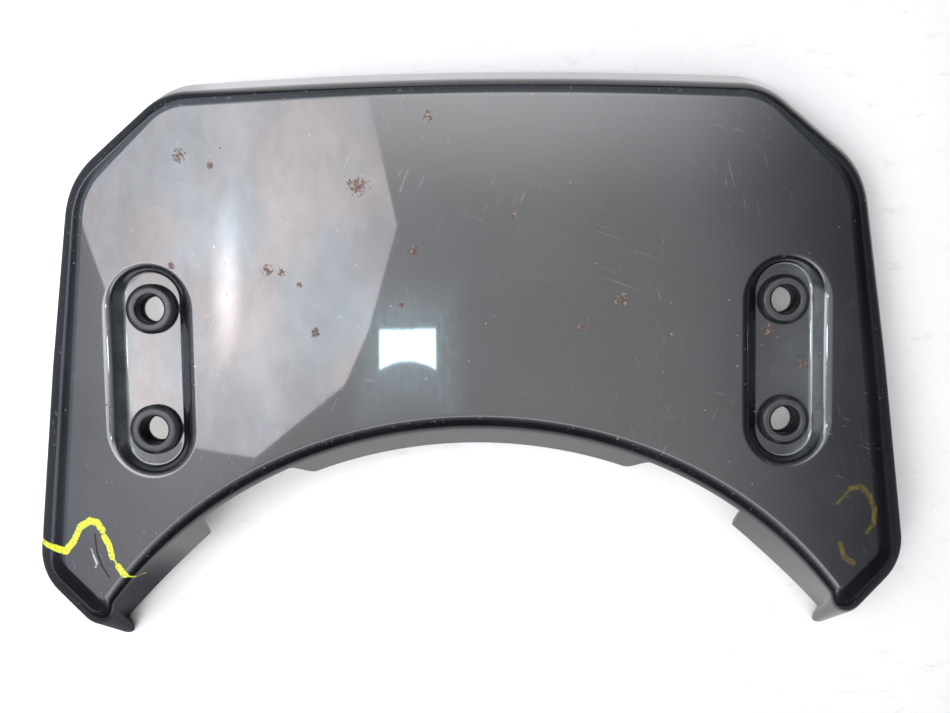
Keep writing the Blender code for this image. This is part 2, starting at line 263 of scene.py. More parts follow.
@dataclass
class Skin:
    """Vertices, faces and normals of one surface, gathered patch by patch."""

    points: list[Array] = field(default_factory=list)
    quads: list[Array] = field(default_factory=list)
    triangles: list[Array] = field(default_factory=list)
    count: int = 0

    def grid(self, rings: list[Array]) -> Array:
        """Adds closed rings joined by quads; a ring i runs on to ring i + 1.

        Args:
            rings: (n, 3) arrays of one length, outward side to their left.

        Returns:
            The vertex numbers, one row to a ring.
        """
        numbers = self.count + np.arange(len(rings) * len(rings[0])).reshape(len(rings), -1)
        self.points.extend(rings)
        self.count += numbers.size
        self.join(numbers)
        return numbers

    def join(self, numbers: Array) -> None:
        """Adds the quads between rows of vertex numbers, closed round each row.

        Args:
            numbers: one row of vertex numbers to a ring.
        """
        after = np.roll(numbers, -1, axis=1)
        quads = np.stack([numbers[:-1], after[:-1], after[1:], numbers[1:]], axis=-1)
        self.quads.append(quads.reshape(-1, 4))

    def loose(self, points: Array) -> Array:
        """Adds single vertices and returns their numbers.

        Args:
            points: (n, 3) places.

        Returns:
            Their vertex numbers.
        """
        numbers = self.count + np.arange(len(points))
        self.points.append(points)
        self.count += len(points)
        return numbers

    def places(self) -> Array:
        """All vertices so far, as rows."""
        return np.concatenate(self.points)

    def fill(self, loops: list[Array], inner: Array) -> None:
        """Fills the plan between closed loops with a constrained Delaunay triangulation.

        Args:
            loops: rows of vertex numbers, the outer one first and then the gaps.
            inner: numbers of vertices that lie free inside.
        """
        places = self.places()
        known = np.concatenate([*loops, inner]).astype(int)
        flat = [Vector(place) for place in places[known, :2]]
        edges, start = [], 0
        for loop in loops:
            size = len(loop)
            edges += [(start + i, start + (i + 1) % size) for i in range(size)]
            start += size
        spots, _, cells, origins = delaunay_2d_cdt(flat, edges, [], 1, 1e-8)[:4]
        corners = np.array(cells)
        middle = np.array([tuple(spot) for spot in spots])[corners].mean(axis=1)
        keep = np.ones(len(corners), bool)
        for gap in loops[1:]:
            keep &= ~within(middle, places[gap, :2])
        first = np.array([origin[0] for origin in origins])
        self.triangles.append(known[first[corners[keep]]])


@dataclass(frozen=True)
class Slotted:
    """A slot with round ends in plan, standing along y; with no reach it is a circle."""

    x: float
    y: float
    half_width: float
    reach: float = 0.0

    def distance(self, points: Array) -> Array:
        """Distance outside the slot: length of (|dx|, max(|dy| - reach, 0)) less the half width.

        Args:
            points: (n, 2) places in plan.

        Returns:
            A distance for each, negative inside.
        """
        across = points[:, 0] - self.x
        along = np.maximum(np.abs(points[:, 1] - self.y) - self.reach, 0)
        return np.hypot(across, along) - self.half_width

    def ring(self, around: int, up: int) -> Array:
        """Counter-clockwise points: two half circles joined by the straight sides.

        Args:
            around: steps in each half circle.
            up: steps along each side.

        Returns:
            (n, 2) points, the same number for every slot.
        """
        turn = np.linspace(0, math.pi, around + 1)
        cap = np.column_stack([np.cos(turn), np.sin(turn)]) * self.half_width
        cap[:, 1] += self.reach
        side = np.linspace(cap[-1], -cap[0], up + 1)[1:-1]
        half = np.concatenate([cap, side])
        return np.concatenate([half, -half]) + [self.x, self.y]


def vertex_normals(points: Array, faces: Array) -> Array:
    """Mean of the face normals round each vertex, each weighted by the face's angle there.

    Args:
        points: (n, 3) vertices.
        faces: (m, 3) triangles.

    Returns:
        (n, 3) unit normals.
    """
    total = np.zeros_like(points)
    corners = points[faces]
    flat = np.cross(corners[:, 1] - corners[:, 0], corners[:, 2] - corners[:, 0])
    size = np.linalg.norm(flat, axis=1, keepdims=True)
    flat = flat / np.maximum(size, 1e-20)
    for i in range(3):
        one = corners[:, (i + 1) % 3] - corners[:, i]
        other = corners[:, (i + 2) % 3] - corners[:, i]
        lengths = np.linalg.norm(one, axis=1) * np.linalg.norm(other, axis=1)
        cosine = np.sum(one * other, axis=1) / np.maximum(lengths, 1e-20)
        angle = np.arccos(np.clip(cosine, -1, 1))[:, None]
        np.add.at(total, faces[:, i], flat * angle)
    return unit(total + np.array([0, 0, 1e-20]))


def make_object(name: str, points: Array, quads: Array, triangles: Array) -> bpy.types.Object:
    """Puts whole arrays into a new mesh object that stands at the origin.

    Args:
        name: of the object and its mesh.
        points: (n, 3) vertices in the model's axes.
        quads: (m, 4) faces.
        triangles: (k, 3) faces.

    Returns:
        The linked object, shaded smooth.
    """
    data = bpy.data.meshes.new(name)
    data.from_pydata(points, [], quads.tolist() + triangles.tolist())
    data.polygons.foreach_set("use_smooth", np.ones(len(data.polygons), bool))
    made = bpy.data.objects.new(name, data)
    bpy.context.scene.collection.objects.link(made)
    return made


# --------------------------------------------------------------------------- the moulding


@dataclass(frozen=True)
class FaceOutline:
    """Outline of the wrapped face: crowned top, cut shoulders, sloping sides, horns and arch."""

    half_span: float = 0.1175
    top_y: float = 0.0965
    top_crown: float = 0.0015
    shoulder_in: float = 0.0100
    side_top_out: float = 0.0231
    side_top_y: float = 0.0657
    side_foot_out: float = 0.0371
    side_foot_y: float = -0.0739
    horn_angle: float = math.radians(41)
    crown_radius: float = 4.0
    shoulder_radius: float = 0.020
    side_top_radius: float = 0.024
    side_foot_radius: float = 0.005
    horn_radius: float = 0.0022
    arch_radius: float = 0.1735
    arch_y: float = -0.0170
    step: float = 0.0022
    arc_step: float = 0.0008

    def arch_point(self, angle: Array) -> Array:
        """Point of the arch: its centre plus the radius turned by the angle from the y axis."""
        middle = self.arch_y - self.arch_radius
        return np.stack([self.arch_radius * np.sin(angle), middle + self.arch_radius * np.cos(angle)], -1)

    def tip_angle(self) -> float:
        """Angle where the horn's cut-off line meets the arch, from the circle's quadratic.

        Returns:
            The angle in radians, from the y axis.
        """
        foot_height = self.side_foot_y - self.arch_y + self.arch_radius
        start = np.array([self.half_span + self.side_foot_out, foot_height])
        along = np.array([-math.cos(self.horn_angle), -math.sin(self.horn_angle)])
        middle = float(start @ along)
        travel = -middle - math.sqrt(middle**2 - float(start @ start) + self.arch_radius**2)
        meeting = start + travel * along
        return math.atan2(meeting[0], meeting[1])

    def half(self, fine: list[tuple[float, float, float]]) -> tuple[Array, Array]:
        """Right half of the outline, from the top's middle to the arch's.

        Args:
            fine: (from x, to x, spacing) of the stretches of arch that need closer points.

        Returns:
            Points, and each point's arch share: 0 outside, 1 on the arch, between them on the horn.
        """
        shoulder = np.array([self.half_span - self.shoulder_in, self.top_y - self.top_crown])
        side_top = np.array([self.half_span + self.side_top_out, self.side_top_y])
        side_foot = np.array([self.half_span + self.side_foot_out, self.side_foot_y])
        tip_angle = self.tip_angle()
        tip = self.arch_point(np.array(tip_angle))
        onward = self.arch_point(np.array(tip_angle - 0.002 / self.arch_radius))
        top = np.array([0.0, self.top_y])
        crown = corner_arc(shoulder * [-1, 1], top, shoulder, self.crown_radius, self.step)
        crown = crown[len(crown) // 2 :]
        crown[0, 0] = 0.0
        arcs = [
            crown,
            corner_arc(top, shoulder, side_top, self.shoulder_radius, self.arc_step),
            corner_arc(shoulder, side_top, side_foot, self.side_top_radius, self.arc_step),
            corner_arc(side_top, side_foot, tip, self.side_foot_radius, self.arc_step / 2),
            corner_arc(side_foot, tip, onward, self.horn_radius, self.arc_step / 4),
        ]
        path, share = [arcs[0]], [np.zeros(len(arcs[0]))]
        for before, after in zip(arcs[:-1], arcs[1:]):
            between = line(before[-1], after[0], self.step)
            path += [between, after]
            share += [np.zeros(len(between)), np.zeros(len(after))]
        share[-1] = smooth_step(np.linspace(0, 1, len(arcs[-1])), 0, 1)
        last = math.asin(arcs[-1][-1, 0] / self.arch_radius)
        coarse = np.linspace(0, last, math.ceil(last * self.arch_radius / self.step) + 1)[:-1]
        runs = [coarse]
        for low, high, spacing in fine:
            low_angle, high_angle = (math.asin(x / self.arch_radius) for x in (low, high))
            coarse = runs[0]
            runs[0] = coarse[(coarse < low_angle - 0.0006) | (coarse > high_angle + 0.0006)]
            steps = math.ceil((high - low) / spacing)
            runs.append(np.linspace(low_angle, high_angle, steps + 1))
        arch = self.arch_point(np.sort(np.concatenate(runs))[::-1])
        path.append(arch)
        share.append(np.ones(len(arch)))
        return np.concatenate(path), np.concatenate(share)


@dataclass(frozen=True)
class Rim:
    """The sloping band round the face, its rounded edge, and the skirt turned back behind it."""

    crease: float = 0.0009
    band_angle: float = math.radians(22)
    band_top: float = 0.0046
    band_shoulder: float = 0.0080
    band_side: float = 0.0114
    band_horn: float = 0.0130
    band_arch: float = 0.0039
    least_rounding: float = 0.0036
    rounding_share: float = 0.42
    rear_depth: float = 0.0435
    rear_slope: float = 0.135
    lean_side: float = 0.25
    lean_top: float = 0.39
    lean_arch: float = 0.47
    lean_horn: float = 0.25
    tab_depth: float = 0.024
    notch_depth: float = 0.0068
    middle_depth: float = 0.021
    middle_end: float = 0.0595
    notch_start: float = 0.0680
    notch_end: float = 0.1028
    tab_start: float = 0.1050
    lip: float = 0.0008
    bead_width: float = 0.0011
    bead_rise: float = 0.22

    def widths(self, points: Array, share: Array, outline: FaceOutline) -> Array:
        """Band width: linear between named heights outside, one width on the arch.

        Args:
            points: (n, 2) places on the outline.
            share: their arch shares.
            outline: of the face.

        Returns:
            The width at each place.
        """
        heights = [outline.arch_y - outline.arch_radius / 2, outline.side_foot_y, 0.0]
        heights += [outline.side_top_y, outline.top_y - outline.top_crown]
        sizes = [self.band_horn, self.band_horn, self.band_side, self.band_shoulder, self.band_top]
        outer = np.interp(points[:, 1], heights, sizes)
        return outer * (1 - share) + self.band_arch * share

    def tab_share(self, points: Array, outline: FaceOutline) -> Array:
        """How far along the arch's tab each point lies, 0 at its inner end and 1 at the horn."""
        tip = outline.arch_point(np.array(outline.tip_angle()))
        return np.clip((np.abs(points[:, 0]) - self.tab_start) / (tip[0] - self.tab_start), 0, 1)

    def lean(self, points: Array, share: Array, normal: Array, outline: FaceOutline) -> Array:
        """Spread of the skirt per unit of depth, as x and y parts.

        Args:
            points: (n, 2) places on the outline.
            share: their arch shares.
            normal: their outward normals in plan.
            outline: of the face.

        Returns:
            (n, 2) spreads.
        """
        along_y = np.where(normal[:, 1] > 0, self.lean_top, self.lean_arch)
        outer = normal * np.column_stack([np.full(len(normal), self.lean_side), along_y])
        sideways = np.sign(points[:, 0]) * self.lean_horn * self.tab_share(points, outline)
        arch = np.column_stack([sideways, np.full(len(points), -self.lean_arch)])
        return outer * (1 - share[:, None]) + arch * share[:, None]

    def arch_depth(self, x: Array) -> Array:
        """Depth of the arch's free edge: level runs joined by smooth S-shaped steps.

        Args:
            x: distance of each place from the middle.

        Returns:
            The depth below the face at each place.
        """
        rise = smooth_step(x, self.middle_end, self.notch_start)
        drop = smooth_step(x, self.notch_end, self.tab_start)
        inner = self.middle_depth + (self.notch_depth - self.middle_depth) * rise
        return inner + (self.tab_depth - self.notch_depth) * drop


@dataclass(frozen=True)
class Pocket:
    """An oblong recess with sloping walls and a flat floor that two grommets stand in."""

    depth: float = 0.0075
    floor_half_width: float = 0.0102
    floor_reach: float = 0.0249
    side_run: float = 0.0071
    end_run: float = 0.0040
    lean_in: float = 0.0008
    mouth_round: float = 0.0024
    corner_in: float = 0.0018
    foot_round: float = 0.0010
    hole_radius: float = 0.0070
    hole_steps: int = 32
    foot_rise: float = 0.0016
    around: int = 44
    up: int = 16

    def mouth(self, half_span: float, side: int) -> Slotted:
        """The edge of the recess in the face, in plan.

        Args:
            half_span: half the distance between the pockets.
            side: 1 for the right pocket, -1 for the left.

        Returns:
            The slot.
        """
        half_length = self.floor_reach + self.floor_half_width + self.end_run
        half_width = self.floor_half_width + self.side_run
        return Slotted(side * (half_span - self.lean_in), 0.0, half_width, half_length - half_width)

    def foot(self, half_span: float, side: int) -> Slotted:
        """The edge of the floor, in plan."""
        return Slotted(side * half_span, 0.0, self.floor_half_width, self.floor_reach)


@dataclass
class ScreenShell:
    """The one-piece moulding: face, rim, skirt, castellated arch flange and both pockets."""

    axes: MountingAxes
    wall: float = 0.0028
    wrap_radius: float = 0.650
    grommet_pitch: float = 0.0450
    cell: float = 0.0034
    outline: FaceOutline = field(default_factory=FaceOutline)
    rim: Rim = field(default_factory=Rim)
    pocket: Pocket = field(default_factory=Pocket)

    @property
    def floor_z(self) -> float:
        """Height of the pocket floors: the face at the grommet line less the pocket's depth."""
        return float(self.wrap(np.array(self.outline.half_span))) - self.pocket.depth

    def wrap(self, x: Array) -> Array:
        """Height of the face: the parabola -x^2 / 2R."""
        return -(x**2) / (2 * self.wrap_radius)

    def on_face(self, plan: Array, drop: Array | float = 0.0) -> Array:
        """Places in plan lifted to the face and then lowered by drop."""
        return np.column_stack([plan, self.wrap(plan[:, 0]) - drop])

    def face_normals(self, points: Array) -> Array:
        """Normals of the wrapped face: (x / R, 0, 1) made unit.

        Args:
            points: (n, 3) places on the face.

        Returns:
            (n, 3) unit normals.
        """
        flat = np.zeros((len(points), 3))
        flat[:, 0] = points[:, 0] / self.wrap_radius
        flat[:, 2] = 1.0
        return unit(flat)

    def stations(self) -> tuple[Array, Array, Array]:
        """The closed clockwise outline: its points, arch shares and outward normals.

        Returns:
            Points, arch shares and normals, one row to a station.
        """
        rim = self.rim
        fine = [
            (rim.middle_end - 0.001, rim.notch_start + 0.001, 0.0005),
            (rim.notch_end - 0.0015, rim.tab_start + 0.0015, 0.0002),
        ]
        points, share = self.outline.half(fine)
        points = np.concatenate([points, points[-2:0:-1] * [-1, 1]])
        share = np.concatenate([share, share[-2:0:-1]])
        return points, share, plan_normals(points)

    def rim_rings(self) -> tuple[list[Array], list[float]]:
        """Rings from the face out over the rim and down the skirt, and how worn each one is.

        The profile is carried along the outline: a Bezier crease, a straight band at the band
        angle, a Bezier edge whose control point is the band's corner, and a straight leaning
        skirt. Each ring is the outline plus its own offset, dropped below the face.

        Returns:
            The rings, and for each the share of edge wear that it takes.
        """
        rim, outline = self.rim, self.outline
        points, share, normal = self.stations()
        band = rim.widths(points, share, outline)[:, None]
        rounding = np.maximum(rim.least_rounding, rim.rounding_share * band)
        slope = math.tan(rim.band_angle)
        lean = rim.lean(points, share, normal, outline)

        def at(offset: Array, drop: Array) -> Array:
            """The outline moved sideways by offset and lowered by drop."""
            return self.on_face(points + offset, drop[:, 0])

        none = np.zeros_like(band)
        out = np.minimum(rim.crease, 0.8 * (band - rounding))
        rings = bezier(at(-normal * rim.crease, none), at(normal * 0, none), at(normal * out, out * slope), 5)
        wear = [0.0, 0.1, 0.35, 0.35, 0.1, 0.0]
        flat = band - rounding - out
        for t in (0.3, 0.6):
            rings.append(at(normal * (out + flat * t), (out + flat * t) * slope))
            wear.append(0.0)
        bead = (1 - share)[:, None] * np.minimum(self.rim.bead_width, 0.35 * flat)
        for t, height in ((1.0, 0.0), (0.75, 0.25), (0.5, 1.0), (0.25, 0.25)):
            width = band - rounding - bead * t - (1 - np.ceil(bead)) * flat * 0.08 * t
            rings.append(at(normal * width, width * slope - bead * self.rim.bead_rise * height))
            wear.append(0.1)
        band_end = at(normal * (band - rounding), (band - rounding) * slope)
        corner = at(normal * band, band * slope)
        start = at(normal * band + lean * rounding, band * slope + rounding)
        rings += bezier(band_end, corner, start, 12)
        wear += [0.4, 0.9, 0.6, 0.3, 0.2, 0.15, 0.1, 0.1, 0.05, 0.0, 0.0, 0.0, 0.0]
        fall = self.skirt_fall(points, share, lean, start)[:, None]
        down = np.column_stack([lean, -np.ones(len(lean))])
        for t in (0.08, 0.22, 0.38, 0.54, 0.7, 0.84, 0.94, 1.0):
            rings.append(start + down * fall * t)
            wear.append(0.0 if t < 0.9 else 0.8)
        return rings, wear

    def skirt_fall(self, points: Array, share: Array, lean: Array, start: Array) -> Array:
        """How far the skirt falls: to the rear plane outside, and to the stepped depth on the arch.

        Args:
            points: (n, 2) places on the outline.
            share: their arch shares.
            lean: the spread of the skirt there.
            start: (n, 3) places where the skirt starts.

        Returns:
            The fall at each place, less the lip.
        """
        rim, outline = self.rim, self.outline
        spread = np.linalg.norm(lean, axis=1)
        inner_edge = self.wall * spread / np.sqrt(1 + spread**2)
        shoulder = outline.half_span - outline.shoulder_in
        bow = np.maximum(self.wrap(points[:, 0]) - self.wrap(np.array(shoulder)), 0)
        rear = -rim.rear_depth + rim.rear_slope * start[:, 1] + bow + inner_edge
        outer = (start[:, 2] - rear) / (1 + rim.rear_slope * lean[:, 1])
        arch = start[:, 2] - self.wrap(points[:, 0]) + rim.arch_depth(np.abs(points[:, 0]))
        arch = arch + (outer - arch) * rim.tab_share(points, outline)
        return outer * (1 - share) + arch * share - rim.lip

    def pocket_rings(self, side: int) -> tuple[list[Array], list[float]]:
        """Rings from the mouth of a pocket down to its floor, and how worn each one is.

        A Bezier turns the face into the wall, which runs straight to where it would meet the
        floor, and a smaller Bezier turns it level there.

        Args:
            side: 1 for the right pocket, -1 for the left.

        Returns:
            The rings, and for each the share of edge wear that it takes.
        """
        pocket, span = self.pocket, self.outline.half_span
        mouth = pocket.mouth(span, side).ring(pocket.around, pocket.up)
        foot = pocket.foot(span, side)
        wide = Slotted(foot.x, foot.y, foot.half_width + pocket.foot_rise, foot.reach)
        foot_ring = wide.ring(pocket.around, pocket.up)
        inward = unit(foot_ring - mouth)
        knee = self.on_face(mouth + inward * pocket.corner_in)
        foot_height = np.full(len(foot_ring), self.floor_z + pocket.foot_rise)
        foot_place = np.column_stack([foot_ring, foot_height])
        down = unit(foot_place - knee)
        run = (knee[:, 2] - self.floor_z) / -down[:, 2]
        toe = knee + down * run[:, None]
        top = self.on_face(knee[:, :2] - inward * pocket.mouth_round)
        lip_end = knee + down * np.minimum(pocket.mouth_round, 0.5 * run)[:, None]
        rings = bezier(top, knee, lip_end, 9)
        wear = [0.0, 0.1, 0.3, 0.5, 0.5, 0.3, 0.1, 0.0, 0.0, 0.0]
        wall_end = toe - down * pocket.foot_round
        for t in (0.35, 0.7):
            rings.append(lip_end + (wall_end - lip_end) * t)
            wear.append(0.0)
        flat = toe + np.column_stack([inward, np.zeros(len(inward))]) * pocket.foot_round
        rings += bezier(wall_end, toe, flat, 5)
        wear += [0.0, 0.0, 0.15, 0.15, 0.0, 0.0]
        return rings, wear

    def free_points(self, ring: Array, mouths: list[Slotted]) -> Array:
        """A square lattice of places on the face, kept clear of its edge and of the mouths.

        Args:
            ring: the face's own edge in plan.
            mouths: the pockets' mouths.

        Returns:
            (n, 2) places.
        """
        low, high = ring.min(axis=0), ring.max(axis=0)
        columns = np.arange(math.ceil(low[0] / self.cell), math.floor(high[0] / self.cell) + 1)
        rows = np.arange(math.ceil(low[1] / self.cell), math.floor(high[1] / self.cell) + 1)
        lattice = np.stack(np.meshgrid(columns, rows), axis=-1).reshape(-1, 2) * self.cell
        gap = np.linalg.norm(lattice[:, None] - ring, axis=-1).min(axis=1)
        keep = within(lattice, ring) & (gap > EDGE_MARGIN)
        for mouth in mouths:
            keep &= mouth.distance(lattice) > MOUTH_MARGIN
        return lattice[keep]

    def build(self) -> bpy.types.Object:
        """Makes the closed moulding: its outer skin, the same skin set in by the wall, and the lips.

        Returns:
            The object, with an edge-wear value and an inside value on every vertex.
        """
        skin = Skin()
        rim_rings, rim_wear = self.rim_rings()
        wear = [np.full(len(ring), value) for ring, value in zip(rim_rings, rim_wear)]
        grime_and_painted_sheen = [np.zeros(len(ring)) for ring in rim_rings]
        rows = skin.grid(rim_rings)
        mouth_loops, mouth_shapes, holes = [], [], []
        level: list[Array] = []
        for side in (-1, 1):
            rings, ring_wear = self.pocket_rings(side)
            wear += [np.full(len(ring), value) for ring, value in zip(rings, ring_wear)]
            # Pocket walls and floors get a grey film value: partly dirt, partly a painted reflection on the
            # outer walls.
            grime_and_painted_sheen += [self._wall_grime_and_painted_sheen(ring, side, i / len(rings)) for i, ring in enumerate(rings)]
            numbers = skin.grid(rings)
            mouth_loops.append(numbers[0])
            mouth_shapes.append(self._mouth_shape(side))
            floor_holes = []
            for end in (1, -1):
                x, y = side * self.outline.half_span, end * self.grommet_pitch / 2
                plan = Slotted(x, y, self.pocket.hole_radius).ring(self.pocket.hole_steps, 1)
                apart = np.linalg.norm(np.diff(plan, axis=0), axis=1) > SAME
                plan = plan[np.append(True, apart)][: 2 * self.pocket.hole_steps]
                ring = np.column_stack([plan, np.full(len(plan), self.floor_z)])
                floor_holes.append(skin.loose(ring))
                wear.append(np.zeros(len(ring)))
                grime_and_painted_sheen.append(np.full(len(ring), 0.25))
            skin.fill([numbers[-1], *floor_holes], np.empty(0, int))
            level += [numbers[-1], *floor_holes]
            holes += floor_holes
        ring = skin.places()[rows[0], :2]
        free = self.free_points(ring, mouth_shapes)
        inner = skin.loose(self.on_face(free))
        wear.append(np.zeros(len(free)))
        grime_and_painted_sheen.append(np.zeros(len(free)))
        skin.fill([rows[0], *mouth_loops], inner)
        points, worn = skin.places(), np.column_stack([np.concatenate(wear), np.concatenate(grime_and_painted_sheen)])
        quads, triangles = np.concatenate(skin.quads), np.concatenate(skin.triangles)
        split = np.concatenate([triangles, quads[:, [0, 1, 2]], quads[:, [0, 2, 3]]])
        normals = vertex_normals(points, split)
        on_face = np.concatenate([rows[0], *mouth_loops, inner])
        normals[on_face] = self.face_normals(points[on_face])
        flat = np.concatenate(level)
        normals[flat] = self.face_normals(points[flat])
        return self._close(points, normals, worn, quads, triangles, rows[-1], rows[-2], holes)

    def _wall_grime_and_painted_sheen(self, ring: Array, side: int, share: float) -> Array:
        """Grey film on a ring of a pocket's wall, partly dirt and partly a painted reflection: most on the
        side away from the middle of the screen.

        Args:
            ring: the ring's places.
            side: 1 for the right pocket, -1 for the left.
            share: how far down the wall the ring lies, 0 to 1.

        Returns:
            A value from 0 to 1 for each place.
        """
        outward = (ring[:, 0] * side - self.outline.half_span) / self.pocket.floor_half_width
        low_down = smooth_step(np.array(share), 0.35, 0.6)
        return smooth_step(outward, -0.2, 0.7) * low_down + 0.25 * (share > 0.95)

    def _mouth_shape(self, side: int) -> Slotted:
        """The mouth at the start of its rounding, in plan.

        Args:
            side: 1 for the right pocket, -1 for the left.

        Returns:
            The slot.
        """
        mouth = self.pocket.mouth(self.outline.half_span, side)
        wider = self.pocket.mouth_round - self.pocket.corner_in
        return Slotted(mouth.x, mouth.y, mouth.half_width + 0.5 * wider, mouth.reach)

    def _close(
        self,
        points: Array,
        normals: Array,
        worn: Array,
        quads: Array,
        triangles: Array,
        edge: Array,
        above: Array,
        holes: list[Array],
    ) -> bpy.types.Object:
        """Sets a second skin in by the wall, point less wall times normal, and joins the two.

        Args:
            points: vertices of the outer skin.
            normals: their normals.
            worn: their edge wear and their grey film value (dirt and painted reflection), as two columns.
            quads: four-sided faces.
            triangles: three-sided faces.
            edge: numbers along the free edge.
            above: numbers of the ring before it.
            holes: numbers round each grommet hole.

        Returns:
            The finished object in the model's axes.
        """
        count = len(points)
        inner = points - self.wall * normals
        split = np.concatenate([triangles, quads[:, [0, 1, 2]], quads[:, [0, 2, 3]]])
        inner_normals = vertex_normals(inner, split[:, ::-1])
        ahead = np.roll(points[edge], -1, axis=0) - np.roll(points[edge], 1, axis=0)
        out = np.cross(normals[edge], unit(ahead))
        sign = np.sign(np.sum(out * (points[edge] - points[above]), axis=1, keepdims=True))
        out = unit(out * sign)
        middle = (points[edge] + inner[edge]) / 2
        turns = np.linspace(0, math.pi, 9)[1:-1]
        lip, lip_normals = [], []
        for turn in turns:
            cosine, sine = math.cos(turn), math.sin(turn)
            across = np.sign(cosine) * abs(cosine) ** LIP_POWER
            along = out * self.rim.lip * sine**LIP_POWER
            lip.append(middle + normals[edge] * self.wall / 2 * across + along)
            turned = normals[edge] * cosine * self.rim.lip + out * sine * self.wall / 2
            lip_normals.append(unit(turned))
        size = len(edge)
        rounds = [2 * count + i * size + np.arange(size) for i in range(len(turns))]
        numbers = [edge, *rounds, edge + count]
        closing = Skin()
        closing.join(np.array(numbers))
        for hole in holes:
            closing.join(np.array([hole, hole + count]))
        all_points = np.concatenate([points, inner, *lip])
        all_normals = np.concatenate([normals, inner_normals, *lip_normals])
        all_quads = np.concatenate([quads, quads[:, ::-1] + count, *closing.quads])
        all_triangles = np.concatenate([triangles, triangles[:, ::-1] + count])
        made = make_object("screen_moulding", self.axes.carry(all_points), all_quads, all_triangles)
        made.data.normals_split_custom_set_from_vertices(self.axes.turn(all_normals))
        lips = np.full(len(turns) * size, 0.8)
        store(made, "edge_wear", np.concatenate([worn[:, 0], np.zeros(count), lips]))
        store(made, "grime_and_painted_sheen", np.clip(np.concatenate([worn[:, 1], np.zeros(count), lips * 0]), 0, 1))
        store(made, "inside", np.concatenate([np.zeros(count), np.ones(count), lips * 0]))
        return made


def store(piece: bpy.types.Object, name: str, values: Array) -> None:
    """Stores one number on every vertex of a piece, for its material to read."""
    layer = piece.data.attributes.new(name, "FLOAT", "POINT")
    layer.data.foreach_set("value", values.astype(np.float32))


# --------------------------------------------------------------------------- the grommets


@dataclass
class Grommet:
    """A turned rubber grommet that grips the pocket floor in the groove round its neck."""

    axes: MountingAxes
    corner: Corner
    half_span: float
    half_pitch: float
    floor_z: float
    wall: float
    clear: float = 0.0003
    bore_radius: float = 0.0052
    bore_end_radius: float = 0.0046
    flange_radius: float = 0.0093
    front_flange: float = 0.0025
    rear_flange: float = 0.0036
    neck_radius: float = 0.0067
    around: int = 96

    def section(self) -> tuple[Array, list[float]]:
        """Corners of half the section with the radius that rounds each one.

        Returns:
            (n, 2) radii and heights from the bore's front round to its rear, and the roundings.
        """
        front, rear = self.clear + self.front_flange, -self.wall - self.clear - self.rear_flange
        corners = [
            (self.bore_end_radius, rear, 0.0003),
            (self.bore_end_radius, rear + 0.0022, 0.0004),
            (self.bore_radius, rear + 0.0028, 0.0004),
            (self.bore_radius, front - 0.0006, 0.0008),
            (self.bore_radius + 0.0007, front, 0.0004),
            (self.flange_radius - 0.0015, front, 0.0006),
            (self.flange_radius, front - 0.0013, 0.0007),
            (self.flange_radius, self.clear, 0.0004),
            (self.neck_radius, self.clear, 0.0003),
            (self.neck_radius, -self.wall - self.clear, 0.0003),
            (self.flange_radius, -self.wall - self.clear, 0.0004),
            (self.flange_radius, rear + 0.0012, 0.0008),
            (self.flange_radius - 0.0012, rear, 0.0008),
        ]
        return np.array([corner[:2] for corner in corners]), [corner[2] for corner in corners]

    def build(self) -> bpy.types.Object:
        """Turns the rounded section about the bore: (r cos a, r sin a, h).

        Returns:
            The grommet, closed, in the model's axes.
        """
        corners, roundings = self.section()
        profile = []
        for i, radius in enumerate(roundings):
            before, here, after = corners[i - 1], corners[i], corners[(i + 1) % len(corners)]
            reach = min(radius, 0.45 * np.linalg.norm(before - here), 0.45 * np.linalg.norm(after - here))
            start, end = here + unit(before - here) * reach, here + unit(after - here) * reach
            profile += bezier(start, here, end, 5)
        rings = np.array(profile)
        turn = np.arange(self.around) * 2 * math.pi / self.around
        x = self.corner.value[1] * self.half_span + rings[:, :1] * np.cos(turn)
        y = self.corner.value[2] * self.half_pitch + rings[:, :1] * np.sin(turn)
        z = np.broadcast_to(rings[:, 1:] + self.floor_z, x.shape)
        points = self.axes.carry(np.stack([x, y, z], axis=-1))
        numbers = np.arange(x.size).reshape(x.shape)
        closed = Skin()
        closed.join(np.concatenate([numbers, numbers[:1]]))
        name, none = f"rubber_{self.corner.node}", np.empty((0, 3), int)
        return make_object(name, points.reshape(-1, 3), closed.quads[0], none)


# --------------------------------------------------------------------------- shader helpers


